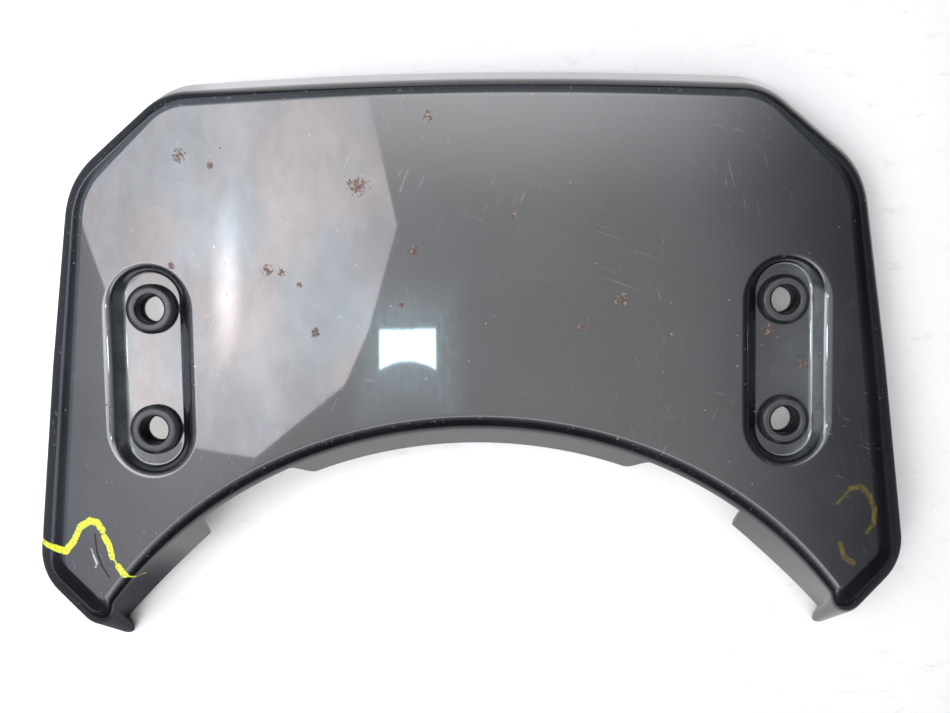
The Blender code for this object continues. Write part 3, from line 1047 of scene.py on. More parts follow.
class Graph:
    """Builds a node tree with few words: each method adds one node and returns its result."""

    def __init__(self, tree: bpy.types.NodeTree) -> None:
        """Keeps the tree that nodes are added to."""
        self.tree = tree

    def add(self, kind: str, inputs: dict | None = None, **settings: object) -> bpy.types.Node:
        """Adds a node.

        Args:
            kind: the node's type name.
            inputs: input name or number to a value or another node's socket.
            settings: properties of the node.

        Returns:
            The node.
        """
        node = self.tree.nodes.new(kind)
        for name, value in settings.items():
            setattr(node, name, value)
        for name, value in (inputs or {}).items():
            self.put(node.inputs[name], value)
        return node

    def put(self, socket: Socket, value: object) -> None:
        """Links a socket to the input, or sets the input's own value.

        Args:
            socket: the input.
            value: a value, or another node's output.
        """
        if isinstance(value, bpy.types.NodeSocket):
            self.tree.links.new(value, socket)
        else:
            socket.default_value = value

    def math(self, operation: str, *values: object, clamp: bool = False) -> Socket:
        """Adds a Math node on one to three values."""
        node = self.add("ShaderNodeMath", dict(enumerate(values)), operation=operation, use_clamp=clamp)
        return node.outputs[0]

    def vector(self, operation: str, *values: object, result: str = "Vector", scale: object = 1.0) -> Socket:
        """Adds a Vector Math node and returns its vector or its value."""
        inputs = dict(enumerate(values)) | ({"Scale": scale} if operation == "SCALE" else {})
        return self.add("ShaderNodeVectorMath", inputs, operation=operation).outputs[result]

    def mix(self, share: object, one: object, other: object) -> Socket:
        """Mixes two colours."""
        node = self.add("ShaderNodeMix", {0: share, 6: one, 7: other}, data_type="RGBA")
        return node.outputs[2]

    def between(self, value: object, low: float, high: float, start: float = 0.0, end: float = 1.0) -> Socket:
        """Maps a stretch of values to another with smooth ends.

        Args:
            value: what is mapped.
            low: where the stretch starts.
            high: where it ends.
            start: the result at low and beyond it.
            end: the result at high and beyond it.

        Returns:
            The mapped value.
        """
        node = self.add(
            "ShaderNodeMapRange",
            {"Value": value, "From Min": low, "From Max": high, "To Min": start, "To Max": end},
            interpolation_type="SMOOTHSTEP",
        )
        return node.outputs["Result"]

    def noise(self, place: Socket, scale: object, detail: float = 2.0, roughness: float = 0.5) -> Socket:
        """Adds a Noise Texture and returns its grey value."""
        inputs = {"Vector": place, "Scale": scale, "Detail": detail, "Roughness": roughness}
        return self.add("ShaderNodeTexNoise", inputs).outputs[0]

    def group(self, tree: bpy.types.NodeTree, inputs: dict) -> Socket:
        """Places a node group, fills its inputs and returns its first output."""
        return self.add("ShaderNodeGroup", inputs, node_tree=tree).outputs[0]


def new_group(name: str, inputs: dict[str, str], outputs: dict[str, str]) -> tuple[Graph, Graph]:
    """Starts a shader node group.

    Args:
        name: of the group.
        inputs: socket name to socket type.
        outputs: socket name to socket type.

    Returns:
        The graph, with its Group Input as attribute given and its Group Output as attribute result.
    """
    tree = bpy.data.node_groups.new(name, "ShaderNodeTree")
    for socket, kind in inputs.items():
        tree.interface.new_socket(socket, in_out="INPUT", socket_type=kind)
    for socket, kind in outputs.items():
        tree.interface.new_socket(socket, in_out="OUTPUT", socket_type=kind)
    graph = Graph(tree)
    graph.given = graph.add("NodeGroupInput").outputs
    graph.result = graph.add("NodeGroupOutput").inputs
    return graph


FLOAT, VECTOR = "NodeSocketFloat", "NodeSocketVector"


class Effects:
    """Node groups that the finishes share, each built once."""

    def __init__(self) -> None:
        """Builds every group."""
        self.segment = self._segment()
        self.spot = self._spot()
        self.scratches = self._scratches()
        self.dust = self._dust()

    @staticmethod
    def _segment() -> bpy.types.NodeTree:
        """Distance from a place to a straight stroke between two points, less the half width.

        Returns:
            The group: Place, Start, End, Half Width to Distance.
        """
        inputs = {"Place": VECTOR, "Start": VECTOR, "End": VECTOR, "Half Width": FLOAT}
        g = new_group("stroke_segment", inputs, {"Distance": FLOAT})
        away = g.vector("SUBTRACT", g.given["Place"], g.given["Start"])
        along = g.vector("SUBTRACT", g.given["End"], g.given["Start"])
        passed = g.vector("DOT_PRODUCT", away, along, result="Value")
        length = g.vector("DOT_PRODUCT", along, along, result="Value")
        reach = g.math("DIVIDE", passed, length, clamp=True)
        scaled = g.vector("SCALE", along, scale=reach)
        gap = g.vector("LENGTH", g.vector("SUBTRACT", away, scaled), result="Value")
        g.put(g.result["Distance"], g.math("SUBTRACT", gap, g.given["Half Width"]))
        return g.tree

    @staticmethod
    def _spot() -> bpy.types.NodeTree:
        """A ragged blot round a centre: 1 inside, 0 outside, its edge broken up by a shared noise.

        Returns:
            The group: Place, Centre, Radius, Uneven, Ragged to Mask.
        """
        inputs = {"Place": VECTOR, "Centre": VECTOR, "Radius": FLOAT, "Uneven": FLOAT, "Ragged": FLOAT}
        g = new_group("ragged_spot", inputs, {"Mask": FLOAT})
        gap = g.vector("DISTANCE", g.given["Place"], g.given["Centre"], result="Value")
        uneven = g.math("MULTIPLY", g.given["Uneven"], g.given["Ragged"])
        share = g.math("ADD", g.math("DIVIDE", gap, g.given["Radius"]), uneven)
        g.put(g.result["Mask"], g.between(share, 1.0, 0.72))
        return g.tree

    @staticmethod
    def _scratches() -> bpy.types.NodeTree:
        """Fine straight hairlines: noise stretched far along one direction, cut to its thin peaks.

        Returns:
            The group: Place, Angle, Fineness, Amount to Mask.
        """
        inputs = {"Place": VECTOR, "Angle": FLOAT, "Fineness": FLOAT, "Amount": FLOAT}
        g = new_group("hairline_scratches", inputs, {"Mask": FLOAT})
        turn = {"Vector": g.given["Place"], "Angle": g.given["Angle"]}
        turned = g.add("ShaderNodeVectorRotate", turn, rotation_type="Z_AXIS").outputs[0]
        long_way = g.vector("MULTIPLY", turned, (0.010, 1.0, 1.0))
        fine = g.noise(long_way, g.given["Fineness"], 0.0)
        peaks = g.between(fine, 0.76, 0.82)
        patches = g.between(g.noise(turned, 24.0, 1.0), 0.46, 0.72)
        g.put(g.result["Mask"], g.math("MULTIPLY", g.math("MULTIPLY", peaks, patches), g.given["Amount"]))
        return g.tree

    @staticmethod
    def _dust() -> bpy.types.NodeTree:
        """Scattered round specks: distance to the nearest Voronoi point, kept in some cells only.

        Returns:
            The group: Place, Scale, Size, Kept to Mask.
        """
        inputs = {"Place": VECTOR, "Scale": FLOAT, "Size": FLOAT, "Kept": FLOAT}
        g = new_group("dust_specks", inputs, {"Mask": FLOAT})
        cells = g.add("ShaderNodeTexVoronoi", {"Vector": g.given["Place"], "Scale": g.given["Scale"]})
        chance = g.add("ShaderNodeSeparateColor", {0: cells.outputs["Color"]})
        size = g.math("MULTIPLY", g.math("ADD", chance.outputs[1], 0.25), g.given["Size"])
        speck = g.math("LESS_THAN", cells.outputs["Distance"], size)
        kept = g.math("LESS_THAN", chance.outputs[0], g.given["Kept"])
        g.put(g.result["Mask"], g.math("MULTIPLY", speck, kept))
        return g.tree


def new_material(name: str) -> tuple[bpy.types.Material, Graph, bpy.types.Node]:
    """Starts a material.

    Args:
        name: of the material.

    Returns:
        The material, its graph and its Principled shader.
    """
    material = bpy.data.materials.new(name)
    material.use_nodes = True
    return material, Graph(material.node_tree), material.node_tree.nodes["Principled BSDF"]


@dataclass(frozen=True)
class Blot:
    """One dried splat or dirt spot, by its place in plan and its radius."""

    x: float
    y: float
    radius: float
    ragged: float


@dataclass(frozen=True)
class Stroke:
    """A drawn line through places in plan."""

    points: tuple[tuple[float, float], ...]
    half_widths: tuple[float, ...]

    def distance(self, graph: Graph, effects: Effects, place: Socket) -> Socket:
        """Least distance to any of the stroke's segments.

        Args:
            graph: of the material.
            effects: the shared groups.
            place: where it is read.

        Returns:
            The distance outside the stroke, in metres.
        """
        nearest = None
        for start, end, width in zip(self.points[:-1], self.points[1:], self.half_widths):
            inputs = {"Place": place, "Start": (*start, 0.0), "End": (*end, 0.0), "Half Width": width}
            gap = graph.group(effects.segment, inputs)
            nearest = gap if nearest is None else graph.math("SMOOTH_MIN", nearest, gap, 0.0004)
        return nearest


@dataclass(frozen=True)
class SmokedPlastic:
    """Polished dark smoked plastic, hazed, scratched and dusty, with crayon marks on two corners."""

    tint: Colour = (0.0022, 0.0026, 0.0036, 1.0)
    haze: Colour = (0.235, 0.240, 0.255, 1.0)
    # film: the grey laid on the pocket walls and floors, partly dirt and partly a painted reflection on the
    # outer walls.
    film: Colour = (0.060, 0.066, 0.068, 1.0)
    dirt: Colour = (0.085, 0.045, 0.038, 1.0)
    yellow: Colour = (0.62, 0.66, 0.035, 1.0)
    olive: Colour = (0.115, 0.088, 0.012, 1.0)
    crayon: Stroke = Stroke(
        (
            (-0.1720, -0.0614),
            (-0.1587, -0.0621),
            (-0.1532, -0.0620),
            (-0.1497, -0.0580),
            (-0.1469, -0.0525),
            (-0.1427, -0.0499),
            (-0.1398, -0.0503),
            (-0.1378, -0.0530),
        ),
        (0.0011, 0.0013, 0.0012, 0.0011, 0.0012, 0.0013, 0.0013),
    )
    crayon_tail: Stroke = Stroke(
        ((-0.1371, -0.0555), (-0.1353, -0.0585), (-0.1343, -0.0629)),
        (0.0012, 0.0011),
    )
    crayon_end: Stroke = Stroke(
        ((-0.1343, -0.0629), (-0.1318, -0.0664), (-0.1296, -0.0695), (-0.1250, -0.0722)),
        (0.0003, 0.0012, 0.0003),
    )
    crack: Stroke = Stroke(
        ((-0.1409, -0.0547), (-0.1404, -0.0614), (-0.1385, -0.0666), (-0.1359, -0.0705)),
        (0.00022, 0.00028, 0.00022),
    )
    scribble: Stroke = Stroke(
        (
            (0.1369, -0.0470),
            (0.1420, -0.0420),
            (0.1462, -0.0418),
            (0.1500, -0.0455),
            (0.1522, -0.0510),
            (0.1518, -0.0560),
            (0.1490, -0.0592),
        ),
        (0.0006, 0.0010, 0.0011, 0.0011, 0.0012, 0.0009),
    )
    scribble_low: Stroke = Stroke(
        ((0.1379, -0.0625), (0.1396, -0.0676), (0.1433, -0.0702)),
        (0.0010, 0.0011),
    )
    scuff: Stroke = Stroke(
        ((-0.1426, -0.0606), (-0.1416, -0.0634), (-0.1406, -0.0657), (-0.1412, -0.0672)),
        (0.0001, 0.0003, 0.0001),
    )
    blots: tuple[Blot, ...] = (
        Blot(-0.1025, 0.0837, 0.0024, 2.2),
        Blot(-0.0909, 0.0800, 0.0014, 1.4),
        Blot(-0.0381, 0.0720, 0.0030, 2.6),
        Blot(-0.0127, 0.0956, 0.0017, 1.9),
        Blot(-0.0712, 0.0431, 0.0018, 2.4),
        Blot(-0.0660, 0.0420, 0.0015, 2.2),
        Blot(-0.0593, 0.0377, 0.0012, 2.0),
        Blot(-0.0540, 0.0208, 0.0016, 2.2),
        Blot(-0.1068, 0.0445, 0.0015, 2.2),
        Blot(0.0405, 0.0217, 0.0013, 2.2),
        Blot(0.0549, 0.0308, 0.0021, 2.8),
        Blot(0.1116, 0.0167, 0.0019, 1.8),
        Blot(0.1245, 0.0041, 0.0018, 1.8),
        Blot(-0.0185, 0.0492, 0.0015, 2.4),
        Blot(0.0168, 0.0612, 0.0010, 2.0),
        Blot(-0.0235, 0.0305, 0.0011, 2.2),
    )

    def material(self, effects: Effects) -> bpy.types.Material:
        """Builds the finish on the piece's own object coordinates.

        Args:
            effects: the shared groups.

        Returns:
            The material.
        """
        material, g, shader = new_material("smoked_moulding_finish")
        place = g.add("ShaderNodeTexCoord").outputs["Object"]
        plan = g.vector("MULTIPLY", place, (1.0, 1.0, 0.0))
        worn = g.add("ShaderNodeAttribute", attribute_name="edge_wear").outputs["Fac"]
        inside = g.add("ShaderNodeAttribute", attribute_name="inside").outputs["Fac"]
        scratch = self._scratch(g, effects, place)
        film = g.between(g.noise(place, 14.0, 3.0, 0.62), 0.38, 0.78, 0.25, 1.0)
        haze = g.math("ADD", g.math("MULTIPLY", film, 0.045), g.math("MULTIPLY", scratch, 0.30))
        colour = g.mix(haze, self.tint, self.haze)
        # Grey film on the pocket walls and floors: partly dirt, partly a painted reflection on the outer
        # walls.
        grime_and_painted_sheen = g.add("ShaderNodeAttribute", attribute_name="grime_and_painted_sheen").outputs["Fac"]
        blotchy = g.between(g.noise(place, 130.0, 3.0, 0.7), 0.30, 0.66, 0.5, 1.0)
        colour = g.mix(g.math("MULTIPLY", grime_and_painted_sheen, blotchy), colour, self.film)
        chipped = g.math("MULTIPLY", worn, g.between(g.noise(place, 420.0, 3.0, 0.7), 0.60, 0.70), clamp=True)
        colour = g.mix(g.math("MULTIPLY", chipped, 0.30), colour, (0.42, 0.43, 0.46, 1.0))
        specks = self._specks(g, effects, place)
        colour = g.mix(g.math("MULTIPLY", specks, 0.55), colour, (0.42, 0.42, 0.42, 1.0))
        colour, dirty = self._dirt(g, effects, plan, colour)
        colour, waxed = self._marks(g, effects, plan, colour)
        cover = g.math("MAXIMUM", dirty, waxed)
        rough = g.math("ADD", 0.20, g.math("MULTIPLY", film, 0.08))
        rough = g.math("MAXIMUM", rough, g.math("MULTIPLY", cover, 0.75))
        rough = g.math("MAXIMUM", rough, g.math("MULTIPLY", inside, 0.42))
        coat = g.math("SUBTRACT", 1.0, g.math("MULTIPLY", cover, 0.85), clamp=True)
        coat = g.math("MULTIPLY", coat, g.math("SUBTRACT", 1.0, g.math("MULTIPLY", chipped, 0.6)))
        g.put(shader.inputs["Base Color"], colour)
        g.put(shader.inputs["Roughness"], rough)
        g.put(shader.inputs["Coat Weight"], coat)
        g.put(shader.inputs["Coat Roughness"], g.math("ADD", 0.03, g.math("MULTIPLY", scratch, 0.25)))
        shader.inputs["Coat IOR"].default_value = 1.50
        shader.inputs["Specular IOR Level"].default_value = 0.16
        waves = {"Height": g.noise(place, 34.0, 2.0), "Strength": 0.04, "Distance": 0.0006}
        bump = g.add("ShaderNodeBump", waves)
        g.put(shader.inputs["Normal"], bump.outputs[0])
        return material

    def _scratch(self, g: Graph, effects: Effects, place: Socket) -> Socket:
        """Three crossing sets of hairlines.

        Args:
            g: graph of the material.
            effects: the shared groups.
            place: where it is read.

        Returns:
            A mask, 1 on a hairline.
        """
        total = None
        for angle, fine, amount in ((0.35, 1100.0, 0.6), (2.05, 900.0, 0.5), (1.32, 1300.0, 0.5)):
            inputs = {"Place": place, "Angle": angle, "Fineness": fine, "Amount": amount}
            mask = g.group(effects.scratches, inputs)
            total = mask if total is None else g.math("ADD", total, mask, clamp=True)
        return total

    def _specks(self, g: Graph, effects: Effects, place: Socket) -> Socket:
        """Pale dust in two sizes.

        Args:
            g: graph of the material.
            effects: the shared groups.
            place: where it is read.

        Returns:
            A mask, 1 on a speck.
        """
        small = g.group(effects.dust, {"Place": place, "Scale": 330.0, "Size": 0.080, "Kept": 0.14})
        large = g.group(effects.dust, {"Place": place, "Scale": 90.0, "Size": 0.030, "Kept": 0.16})
        return g.math("MAXIMUM", small, large)

    def _dirt(self, g: Graph, effects: Effects, plan: Socket, colour: Socket) -> tuple[Socket, Socket]:
        """Adds dried splats and dirt spots to the colour.

        Args:
            g: graph of the material.
            effects: the shared groups.
            plan: places seen from the front.
            colour: the colour so far.

        Returns:
            The new colour, and where the dirt lies.
        """
        total = None
        uneven = g.math("SUBTRACT", g.noise(plan, 620.0, 3.0, 0.8), 0.5)
        for blot in self.blots:
            inputs = {"Place": plan, "Centre": (blot.x, blot.y, 0.0), "Radius": blot.radius}
            inputs |= {"Uneven": uneven, "Ragged": blot.ragged * 2.0}
            mask = g.group(effects.spot, inputs)
            total = mask if total is None else g.math("MAXIMUM", total, mask)
        grit = g.group(effects.dust, {"Place": plan, "Scale": 170.0, "Size": 0.065, "Kept": 0.22})
        total = g.math("MAXIMUM", total, grit)
        light = g.between(g.noise(plan, 900.0, 2.0, 0.7), 0.50, 0.62)
        shade = g.mix(light, self.dirt, (0.30, 0.23, 0.17, 1.0))
        return g.mix(g.math("MULTIPLY", total, 0.85), colour, shade), total

    def _marks(self, g: Graph, effects: Effects, plan: Socket, colour: Socket) -> tuple[Socket, Socket]:
        """Adds the crayon line, the hairline crack and the scribble to the colour.

        Args:
            g: graph of the material.
            effects: the shared groups.
            plan: places seen from the front.
            colour: the colour so far.

        Returns:
            The new colour, and where the wax lies.
        """
        ragged = g.math("MULTIPLY", g.math("SUBTRACT", g.noise(plan, 1300.0, 3.0, 0.6), 0.5), 0.0009)
        strokes = (self.crayon, self.crayon_tail, self.crayon_end)
        gaps = [stroke.distance(g, effects, plan) for stroke in strokes]
        near = g.math("MINIMUM", gaps[0], g.math("MINIMUM", gaps[1], gaps[2]))
        wax = g.between(g.math("ADD", near, ragged), 0.00022, -0.00012)
        thin = g.between(g.noise(plan, 1100.0, 2.0), 0.66, 0.42)
        wax = g.math("MULTIPLY", wax, g.math("ADD", 0.45, g.math("MULTIPLY", thin, 0.55)))
        split = g.between(self.crack.distance(g, effects, plan), 0.00025, -0.0001)
        pen = [stroke.distance(g, effects, plan) for stroke in (self.scribble, self.scribble_low)]
        faded = g.between(g.math("ADD", g.math("MINIMUM", *pen), ragged), 0.0003, -0.0005)
        faded = g.math("MULTIPLY", faded, g.between(g.noise(plan, 420.0, 4.0), 0.30, 0.62, 0.30, 0.85))
        colour = g.mix(split, colour, (0.0012, 0.0012, 0.0014, 1.0))
        scuffed = g.math("ADD", self.scuff.distance(g, effects, plan), ragged)
        rubbed = g.between(scuffed, 0.0004, -0.0002, 0.0, 0.8)
        colour = g.mix(rubbed, colour, (0.45, 0.45, 0.48, 1.0))
        colour = g.mix(faded, colour, self.olive)
        colour = g.mix(wax, colour, self.yellow)
        return colour, g.math("MAXIMUM", g.math("MAXIMUM", wax, split), g.math("MULTIPLY", faded, 0.5))


@dataclass(frozen=True)
class BlackRubber:
    """Matt black rubber with a moulded grain and a little dust."""

    tint: Colour = (0.006, 0.006, 0.008, 1.0)
    bloom: Colour = (0.040, 0.041, 0.046, 1.0)

    def material(self, effects: Effects) -> bpy.types.Material:
        """Builds the finish on the piece's own object coordinates.

        Args:
            effects: the shared groups.

        Returns:
            The material.
        """
        material, g, shader = new_material("black_rubber_finish")
        place = g.add("ShaderNodeTexCoord").outputs["Object"]
        bloom = g.between(g.noise(place, 210.0, 5.0, 0.65), 0.42, 0.75)
        colour = g.mix(g.math("MULTIPLY", bloom, 0.45), self.tint, self.bloom)
        specks = g.group(effects.dust, {"Place": place, "Scale": 900.0, "Size": 0.10, "Kept": 0.12})
        colour = g.mix(g.math("MULTIPLY", specks, 0.6), colour, (0.32, 0.31, 0.30, 1.0))
        grain = g.noise(place, 2600.0, 2.0)
        g.put(shader.inputs["Base Color"], colour)
        g.put(shader.inputs["Roughness"], g.math("ADD", 0.34, g.math("MULTIPLY", bloom, 0.25)))
        shader.inputs["Specular IOR Level"].default_value = 0.32
        bump = g.add("ShaderNodeBump", {"Height": grain, "Strength": 0.25, "Distance": 0.00008})
        g.put(shader.inputs["Normal"], bump.outputs[0])
        return material


# --------------------------------------------------------------------------- the studio


@dataclass
class Studio:
    """Camera, table and lights."""

    axes: MountingAxes
    eye: tuple[float, float, float] = (0.0024, 0.0255, 0.3356)
    pitch: float = math.radians(3.65)
    roll: float = math.radians(0.88)
    lens: float = 36.0
    table_half: float = 1.6
    soft_height: float = 0.750
    soft_corners: tuple[tuple[float, float], ...] = (
        (-0.205, 0.395),
        (-0.137, 0.209),
        (-0.193, 0.093),
        (-0.241, 0.031),
        (-0.430, -0.057),
        (-0.600, -0.052),
        (-0.760, -0.050),
        (-0.800, 0.060),
        (-0.845, 0.145),
        (-0.960, 0.270),
        (-0.960, 0.420),
        (-0.680, 0.450),
    )
    window_middle: tuple[float, float] = (-0.118, 0.070)
    window_half: tuple[float, float] = (0.052, 0.021)
    window_glow: float = 0.07

    def build(self) -> None:
        """Makes everything round the object."""
        scene = bpy.context.scene
        scene.view_settings.view_transform = "Standard"
        scene.view_settings.look = "None"
        scene.camera = self.camera()
        self.table()
        self.softbox()
        self.window()
        self.sky()
        self.area("key", (-0.62, 0.22, 0.95), 0.5, 12.0)
        self.area("fill", (-0.60, -0.70, 0.85), 0.6, 7.0)
        self.area("ceiling", (0.0, 0.0, 1.7), 2.2, 24.0)

    def camera(self) -> bpy.types.Object:
        """Places the camera: right and up are the pitched axes turned by the roll.

        Returns:
            The camera, linked to the scene.
        """
        sin_p, cos_p = math.sin(self.pitch), math.cos(self.pitch)
        forward = np.array([0.0, -sin_p, -cos_p])
        upright = np.array([0.0, cos_p, -sin_p])
        across = np.array([1.0, 0.0, 0.0])
        right = math.cos(self.roll) * across - math.sin(self.roll) * upright
        up = math.sin(self.roll) * across + math.cos(self.roll) * upright
        data = bpy.data.cameras.new("camera")
        data.sensor_width = 36.0
        data.lens = self.lens
        data.clip_start = 0.01
        made = bpy.data.objects.new("camera", data)
        bpy.context.scene.collection.objects.link(made)
        turned = self.axes.turn(np.array([right, up, -forward]))
        place = self.axes.carry(np.array(self.eye))
        made.matrix_world = Matrix.Translation(place) @ Matrix(turned.T.tolist()).to_4x4()
        return made

    def table(self) -> None:
        """A wide pale scuffed table just under the object, with pools of light painted on it where the camera
        sees it through the bores.

        To mirror-like rays its colour is painted near black out to the sides, a painted dark reflection that
        stands for a dark room beyond it.
        """
        half = self.table_half
        points = np.array([(-half, -half, 0), (half, -half, 0), (half, half, 0), (-half, half, 0)], float)
        points[:, 2] = CAD_BOX[0][2] - TABLE_GAP
        made = make_object("table", points, np.array([[0, 1, 2, 3]]), np.empty((0, 3), int))
        material, g, shader = new_material("pale_table")
        place = g.add("ShaderNodeTexCoord").outputs["Object"]
        cloud = g.between(g.noise(place, 7.0, 4.0), 0.3, 0.7)
        scuffs = g.between(g.noise(g.vector("MULTIPLY", place, (1.0, 2.5, 1.0)), 70.0, 4.0, 0.7), 0.56, 0.75)
        colour = g.mix(cloud, (0.66, 0.645, 0.635, 1.0), (0.71, 0.70, 0.695, 1.0))
        colour = g.mix(g.math("MULTIPLY", scuffs, 0.35), colour, (0.40, 0.40, 0.40, 1.0))
        parts = g.add("ShaderNodeSeparateXYZ", {0: place}).outputs
        # Painted reflection: to glossy rays the table's colour turns near black beside and far behind the
        # object, and partly darker below y = 0.08 m.
        beside = g.between(g.math("ABSOLUTE", g.math("SUBTRACT", parts["X"], 0.03)), 0.118, 0.160)
        behind = g.between(parts["Y"], -0.27, -0.30)
        inside = g.between(parts["Y"], 0.095, 0.080, 0.0, 0.55)
        painted_dark_mirror = g.math("MAXIMUM", g.math("MAXIMUM", beside, behind), inside)
        glossy = g.add("ShaderNodeLightPath").outputs["Is Glossy Ray"]
        painted_dark_mirror = g.math("MULTIPLY", painted_dark_mirror, glossy)
        g.put(shader.inputs["Base Color"], g.mix(painted_dark_mirror, colour, (0.010, 0.012, 0.018, 1.0)))
        shader.inputs["Roughness"].default_value = 0.6
        # Painted light: the table glows in pools where the camera sees it through each bore, brighter on the
        # left.
        shader.inputs["Emission Color"].default_value = (1.0, 0.98, 0.96, 1.0)
        painted_glow = None
        for x, y in self.painted_light_spots():
            gap = g.vector("DISTANCE", place, (x, y, float(points[0, 2])), result="Value")
            spot = g.between(gap, 0.012, 0.006, 0.0, 0.55 if x < 0 else 0.20)
            painted_glow = spot if painted_glow is None else g.math("MAXIMUM", painted_glow, spot)
        g.put(shader.inputs["Emission Strength"], painted_glow)
        made.data.materials.append(material)

    def painted_light_spots(self) -> list[tuple[float, float]]:
        """Where the camera's line of sight through each bore meets the table: the middles of the painted
        pools of light.

        Returns:
            An x and a y for each grommet.
        """
        eye = self.axes.carry(np.array(self.eye))
        floor = CAD_BOX[0][2] - TABLE_GAP
        found = []
        for corner in Corner:
            middle = np.mean(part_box(corner.node), axis=0)
            spot = eye + (middle - eye) * (eye[2] - floor) / (eye[2] - middle[2])
            found.append((float(spot[0]), float(spot[1])))
        return found

    def area(self, name: str, place: tuple[float, float, float], size: float, power: float) -> None:
        """A square lamp aimed at the object that lights it but isn't mirrored in it.

        Args:
            name: of the lamp.
            place: its middle.
            size: its side.
            power: in watts.
        """
        data = bpy.data.lights.new(name, "AREA")
        data.shape, data.size, data.energy = "SQUARE", size, power
        made = bpy.data.objects.new(name, data)
        made.location = place
        made.rotation_euler = (-Vector(place)).to_track_quat("-Z", "Y").to_euler()
        made.visible_glossy = False
        made.visible_camera = False
        bpy.context.scene.collection.objects.link(made)

    def _lamp(
        self, name: str, corners: tuple[tuple[float, float], ...], height: float, through: float = 0.0
    ) -> tuple[Graph, bpy.types.Node]:
        """A level glowing polygon that only shows in reflections and in the light it gives.

        Args:
            name: of the polygon.
            corners: its outline in plan.
            height: above the origin.
            through: the share of light that passes through it.

        Returns:
            Its graph, and its Emission node.
        """
        points = np.array([(*corner, height) for corner in corners], float)
        data = bpy.data.meshes.new(name)
        data.from_pydata(points, [], [list(range(len(corners)))])
        made = bpy.data.objects.new(name, data)
        bpy.context.scene.collection.objects.link(made)
        made.visible_camera = False
        material = bpy.data.materials.new(name)
        material.use_nodes = True
        g = Graph(material.node_tree)
        material.node_tree.nodes.clear()
        glow = g.add("ShaderNodeEmission")
        clear = g.add("ShaderNodeBsdfTransparent", {0: (through, through, through, 1.0)})
        both = g.add("ShaderNodeAddShader", {0: glow.outputs[0], 1: clear.outputs[0]})
        out = g.add("ShaderNodeOutputMaterial")
        g.put(out.inputs["Surface"], both.outputs[0])
        data.materials.append(material)
        return g, glow

    def softbox(self) -> None:
        """The main light: a many-sided softbox with an uneven cloth."""
        g, glow = self._lamp("softbox", self.soft_corners, self.soft_height)
        place = g.add("ShaderNodeTexCoord").outputs["Object"]
        cloud = g.between(g.noise(place, 9.0, 7.0, 0.75), 0.32, 0.68, 0.86, 1.18)
        spot = g.vector("DISTANCE", place, (-0.46, 0.16, self.soft_height), result="Value")
        warm = g.between(spot, 0.34, 0.0, 1.0, 1.35)
        streak = g.vector("SUBTRACT", place, (-0.50, 0.15, self.soft_height))
        near = g.vector("LENGTH", g.vector("MULTIPLY", streak, (2.6, 1.0, 1.0)), result="Value")
        warm = g.math("MULTIPLY", warm, g.between(near, 0.13, 0.0, 1.0, 2.0))
        edge = g.vector("DISTANCE", place, (-0.70, 0.03, self.soft_height), result="Value")
        warm = g.math("MULTIPLY", warm, g.between(edge, 0.14, 0.06, 1.0, 1.35))
        tone = g.between(g.noise(place, 6.0, 3.0), 0.35, 0.65)
        colour = g.mix(tone, (0.88, 0.95, 1.04, 1.0), (1.04, 0.95, 0.96, 1.0))
        g.put(glow.inputs["Color"], colour)
        g.put(glow.inputs["Strength"], g.math("MULTIPLY", g.math("MULTIPLY", cloud, warm), 8.2))

    def window(self) -> None:
        """A small hard cool light, cut to an arc along its lower side, with a streaky glow round it."""
        (x, y), (wide, tall) = self.window_middle, self.window_half
        reach = (wide + self.window_glow, tall + self.window_glow)
        turns = ((-1, -1), (1, -1), (1, 1), (-1, 1))
        outline = tuple((x + i * reach[0], y + j * reach[1]) for i, j in turns)
        height = self.soft_height - 0.01
        g, glow = self._lamp("window", outline, height, 1.0)
        place = g.add("ShaderNodeTexCoord").outputs["Object"]
        away = g.vector("SUBTRACT", place, (x, y, height))
        parts = g.add("ShaderNodeSeparateXYZ", {0: away}).outputs
        share = g.math("DIVIDE", parts["X"], wide)
        arc = g.math("MULTIPLY", g.math("SUBTRACT", 1.0, g.math("MULTIPLY", share, share)), 0.009)
        low = g.math("SUBTRACT", g.math("SUBTRACT", arc, tall), parts["Y"])
        high = g.math("SUBTRACT", parts["Y"], tall)
        beside = g.math("SUBTRACT", g.math("ABSOLUTE", parts["X"]), wide)
        gap = g.math("MAXIMUM", beside, g.math("MAXIMUM", low, high))
        streaks = g.noise(g.vector("MULTIPLY", place, (2.0, 9.0, 1.0)), 22.0, 4.0, 0.75)
        core = g.between(gap, 0.003, -0.002, 0.0, 55.0)
        core = g.math("MULTIPLY", core, g.between(streaks, 0.28, 0.55, 0.25, 1.0))
        fine = g.noise(g.vector("MULTIPLY", place, (7.0, 2.0, 1.0)), 30.0, 4.0, 0.8)
        fade = g.between(gap, self.window_glow, 0.0)
        halo = g.math("MULTIPLY", fade, g.between(fine, 0.35, 0.65, 0.15, 3.2))
        glow.inputs["Color"].default_value = (0.62, 0.86, 1.0, 1.0)
        g.put(glow.inputs["Strength"], g.math("ADD", core, halo))

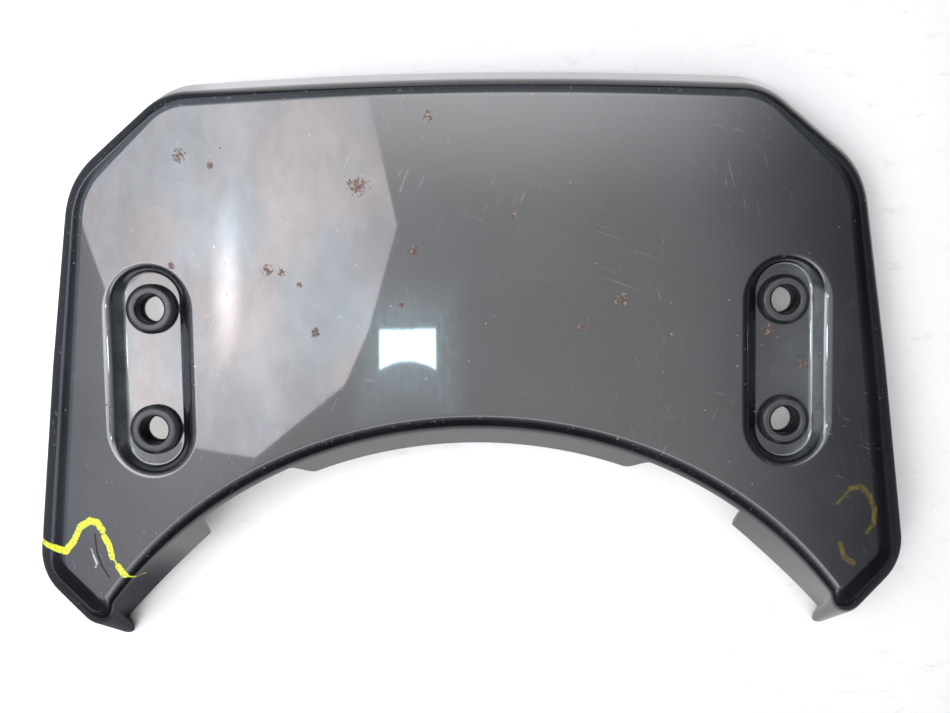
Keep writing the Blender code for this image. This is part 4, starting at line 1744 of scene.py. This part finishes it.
    def sky(self) -> None:
        """A soft ceiling that is bright overhead and towards the top of the screen, and dark low down."""
        world = bpy.data.worlds.new("ceiling")
        bpy.context.scene.world = world
        world.use_nodes = True
        g = Graph(world.node_tree)
        way = g.add("ShaderNodeTexCoord").outputs["Generated"]
        parts = g.add("ShaderNodeSeparateXYZ", {0: way}).outputs
        ramp = g.add("ShaderNodeValToRGB", {0: parts["Z"]})
        stops = (
            (0.0, (0.0, 0.0, 0.0)),
            (0.45, (0.010, 0.012, 0.016)),
            (0.60, (0.16, 0.17, 0.19)),
            (0.72, (0.42, 0.43, 0.46)),
            (0.86, (0.80, 0.81, 0.84)),
            (1.0, (1.0, 1.0, 1.02)),
        )
        while len(ramp.color_ramp.elements) < len(stops):
            ramp.color_ramp.elements.new(0.5)
        for element, (position, value) in zip(ramp.color_ramp.elements, stops):
            element.position = position
            element.color = (*value, 1.0)
        left = g.between(parts["X"], -0.35, -0.75, 1.0, 2.1)
        right = g.between(parts["X"], 0.40, 0.85, 1.0, 0.36)
        ahead = g.math("MULTIPLY", g.between(parts["Y"], 0.20, 0.40), g.between(parts["Z"], 0.60, 0.85))
        behind = g.math("MULTIPLY", g.between(parts["Y"], -0.30, -0.42), g.between(parts["Z"], 0.62, 0.85))
        extra = g.math("ADD", g.math("MULTIPLY", ahead, 2.2), g.math("MULTIPLY", behind, 2.5))
        high = g.math("ADD", g.math("MULTIPLY", left, right), extra)
        high = g.vector("SCALE", ramp.outputs[0], scale=g.math("MULTIPLY", high, 2.75))
        leftward = g.between(parts["X"], -0.1, -0.8, 0.16, 1.5)
        low = g.math("ADD", leftward, g.between(parts["Y"], 0.1, 0.8, 0.0, 0.75))
        low = g.math("MULTIPLY", low, g.between(parts["Y"], -0.35, -0.10))
        level = g.math("MULTIPLY", g.between(parts["Z"], 0.80, 0.52), g.between(parts["Z"], 0.02, 0.18))
        low = g.math("MULTIPLY", low, level)
        low = g.vector("SCALE", (0.74, 0.83, 1.0), scale=low)
        glow = g.vector("ADD", high, low)
        seen = g.add("ShaderNodeLightPath").outputs["Is Camera Ray"]
        shade = g.mix(seen, glow, (0.82, 0.83, 0.84, 1.0))
        background = world.node_tree.nodes["Background"]
        g.put(background.inputs["Color"], shade)
        world.cycles_visibility.diffuse = False


# --------------------------------------------------------------------------- putting it together


def settle(piece: bpy.types.Object, node: str, material: bpy.types.Material) -> None:
    """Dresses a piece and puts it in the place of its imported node.

    Args:
        piece: the new piece.
        node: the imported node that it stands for.
        material: its finish.
    """
    piece.data.materials.clear()
    piece.data.materials.append(material)
    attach(piece, "root")
    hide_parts(node)
    LOG.info("%s: %d faces, for %s", piece.name, len(piece.data.polygons), node)


def corners(box: tuple) -> list[list[float]]:
    """A box's two corners as plain lists."""
    return [[float(value) for value in corner] for corner in box]


def main() -> None:
    """Builds the pieces in order, dresses them and sets the studio round them."""
    effects = Effects()
    draft = ScreenShell(MountingAxes(0.0, (0.0, 0.0, 0.0)))
    sample = Grommet(draft.axes, Corner.UPPER_LEFT, 0.0, 0.0, 0.0, draft.wall)
    heights = sample.section()[0][:, 1]
    axes = MountingAxes.from_frame(draft.floor_z + float(heights.min() + heights.max()) / 2)
    LOG.info("mounting axes tilt %.3f deg at %s", math.degrees(axes.tilt), np.round(axes.place, 5))
    shell = ScreenShell(axes)
    settle(shell.build(), "screen_shell", SmokedPlastic().material(effects))
    rubber = BlackRubber().material(effects)
    half_span, half_pitch = shell.outline.half_span, shell.grommet_pitch / 2
    for corner in Corner:
        grommet = Grommet(axes, corner, half_span, half_pitch, shell.floor_z, shell.wall)
        settle(grommet.build(), corner.node, rubber)
    Studio(axes).build()


if __name__ == "__main__":
    main()
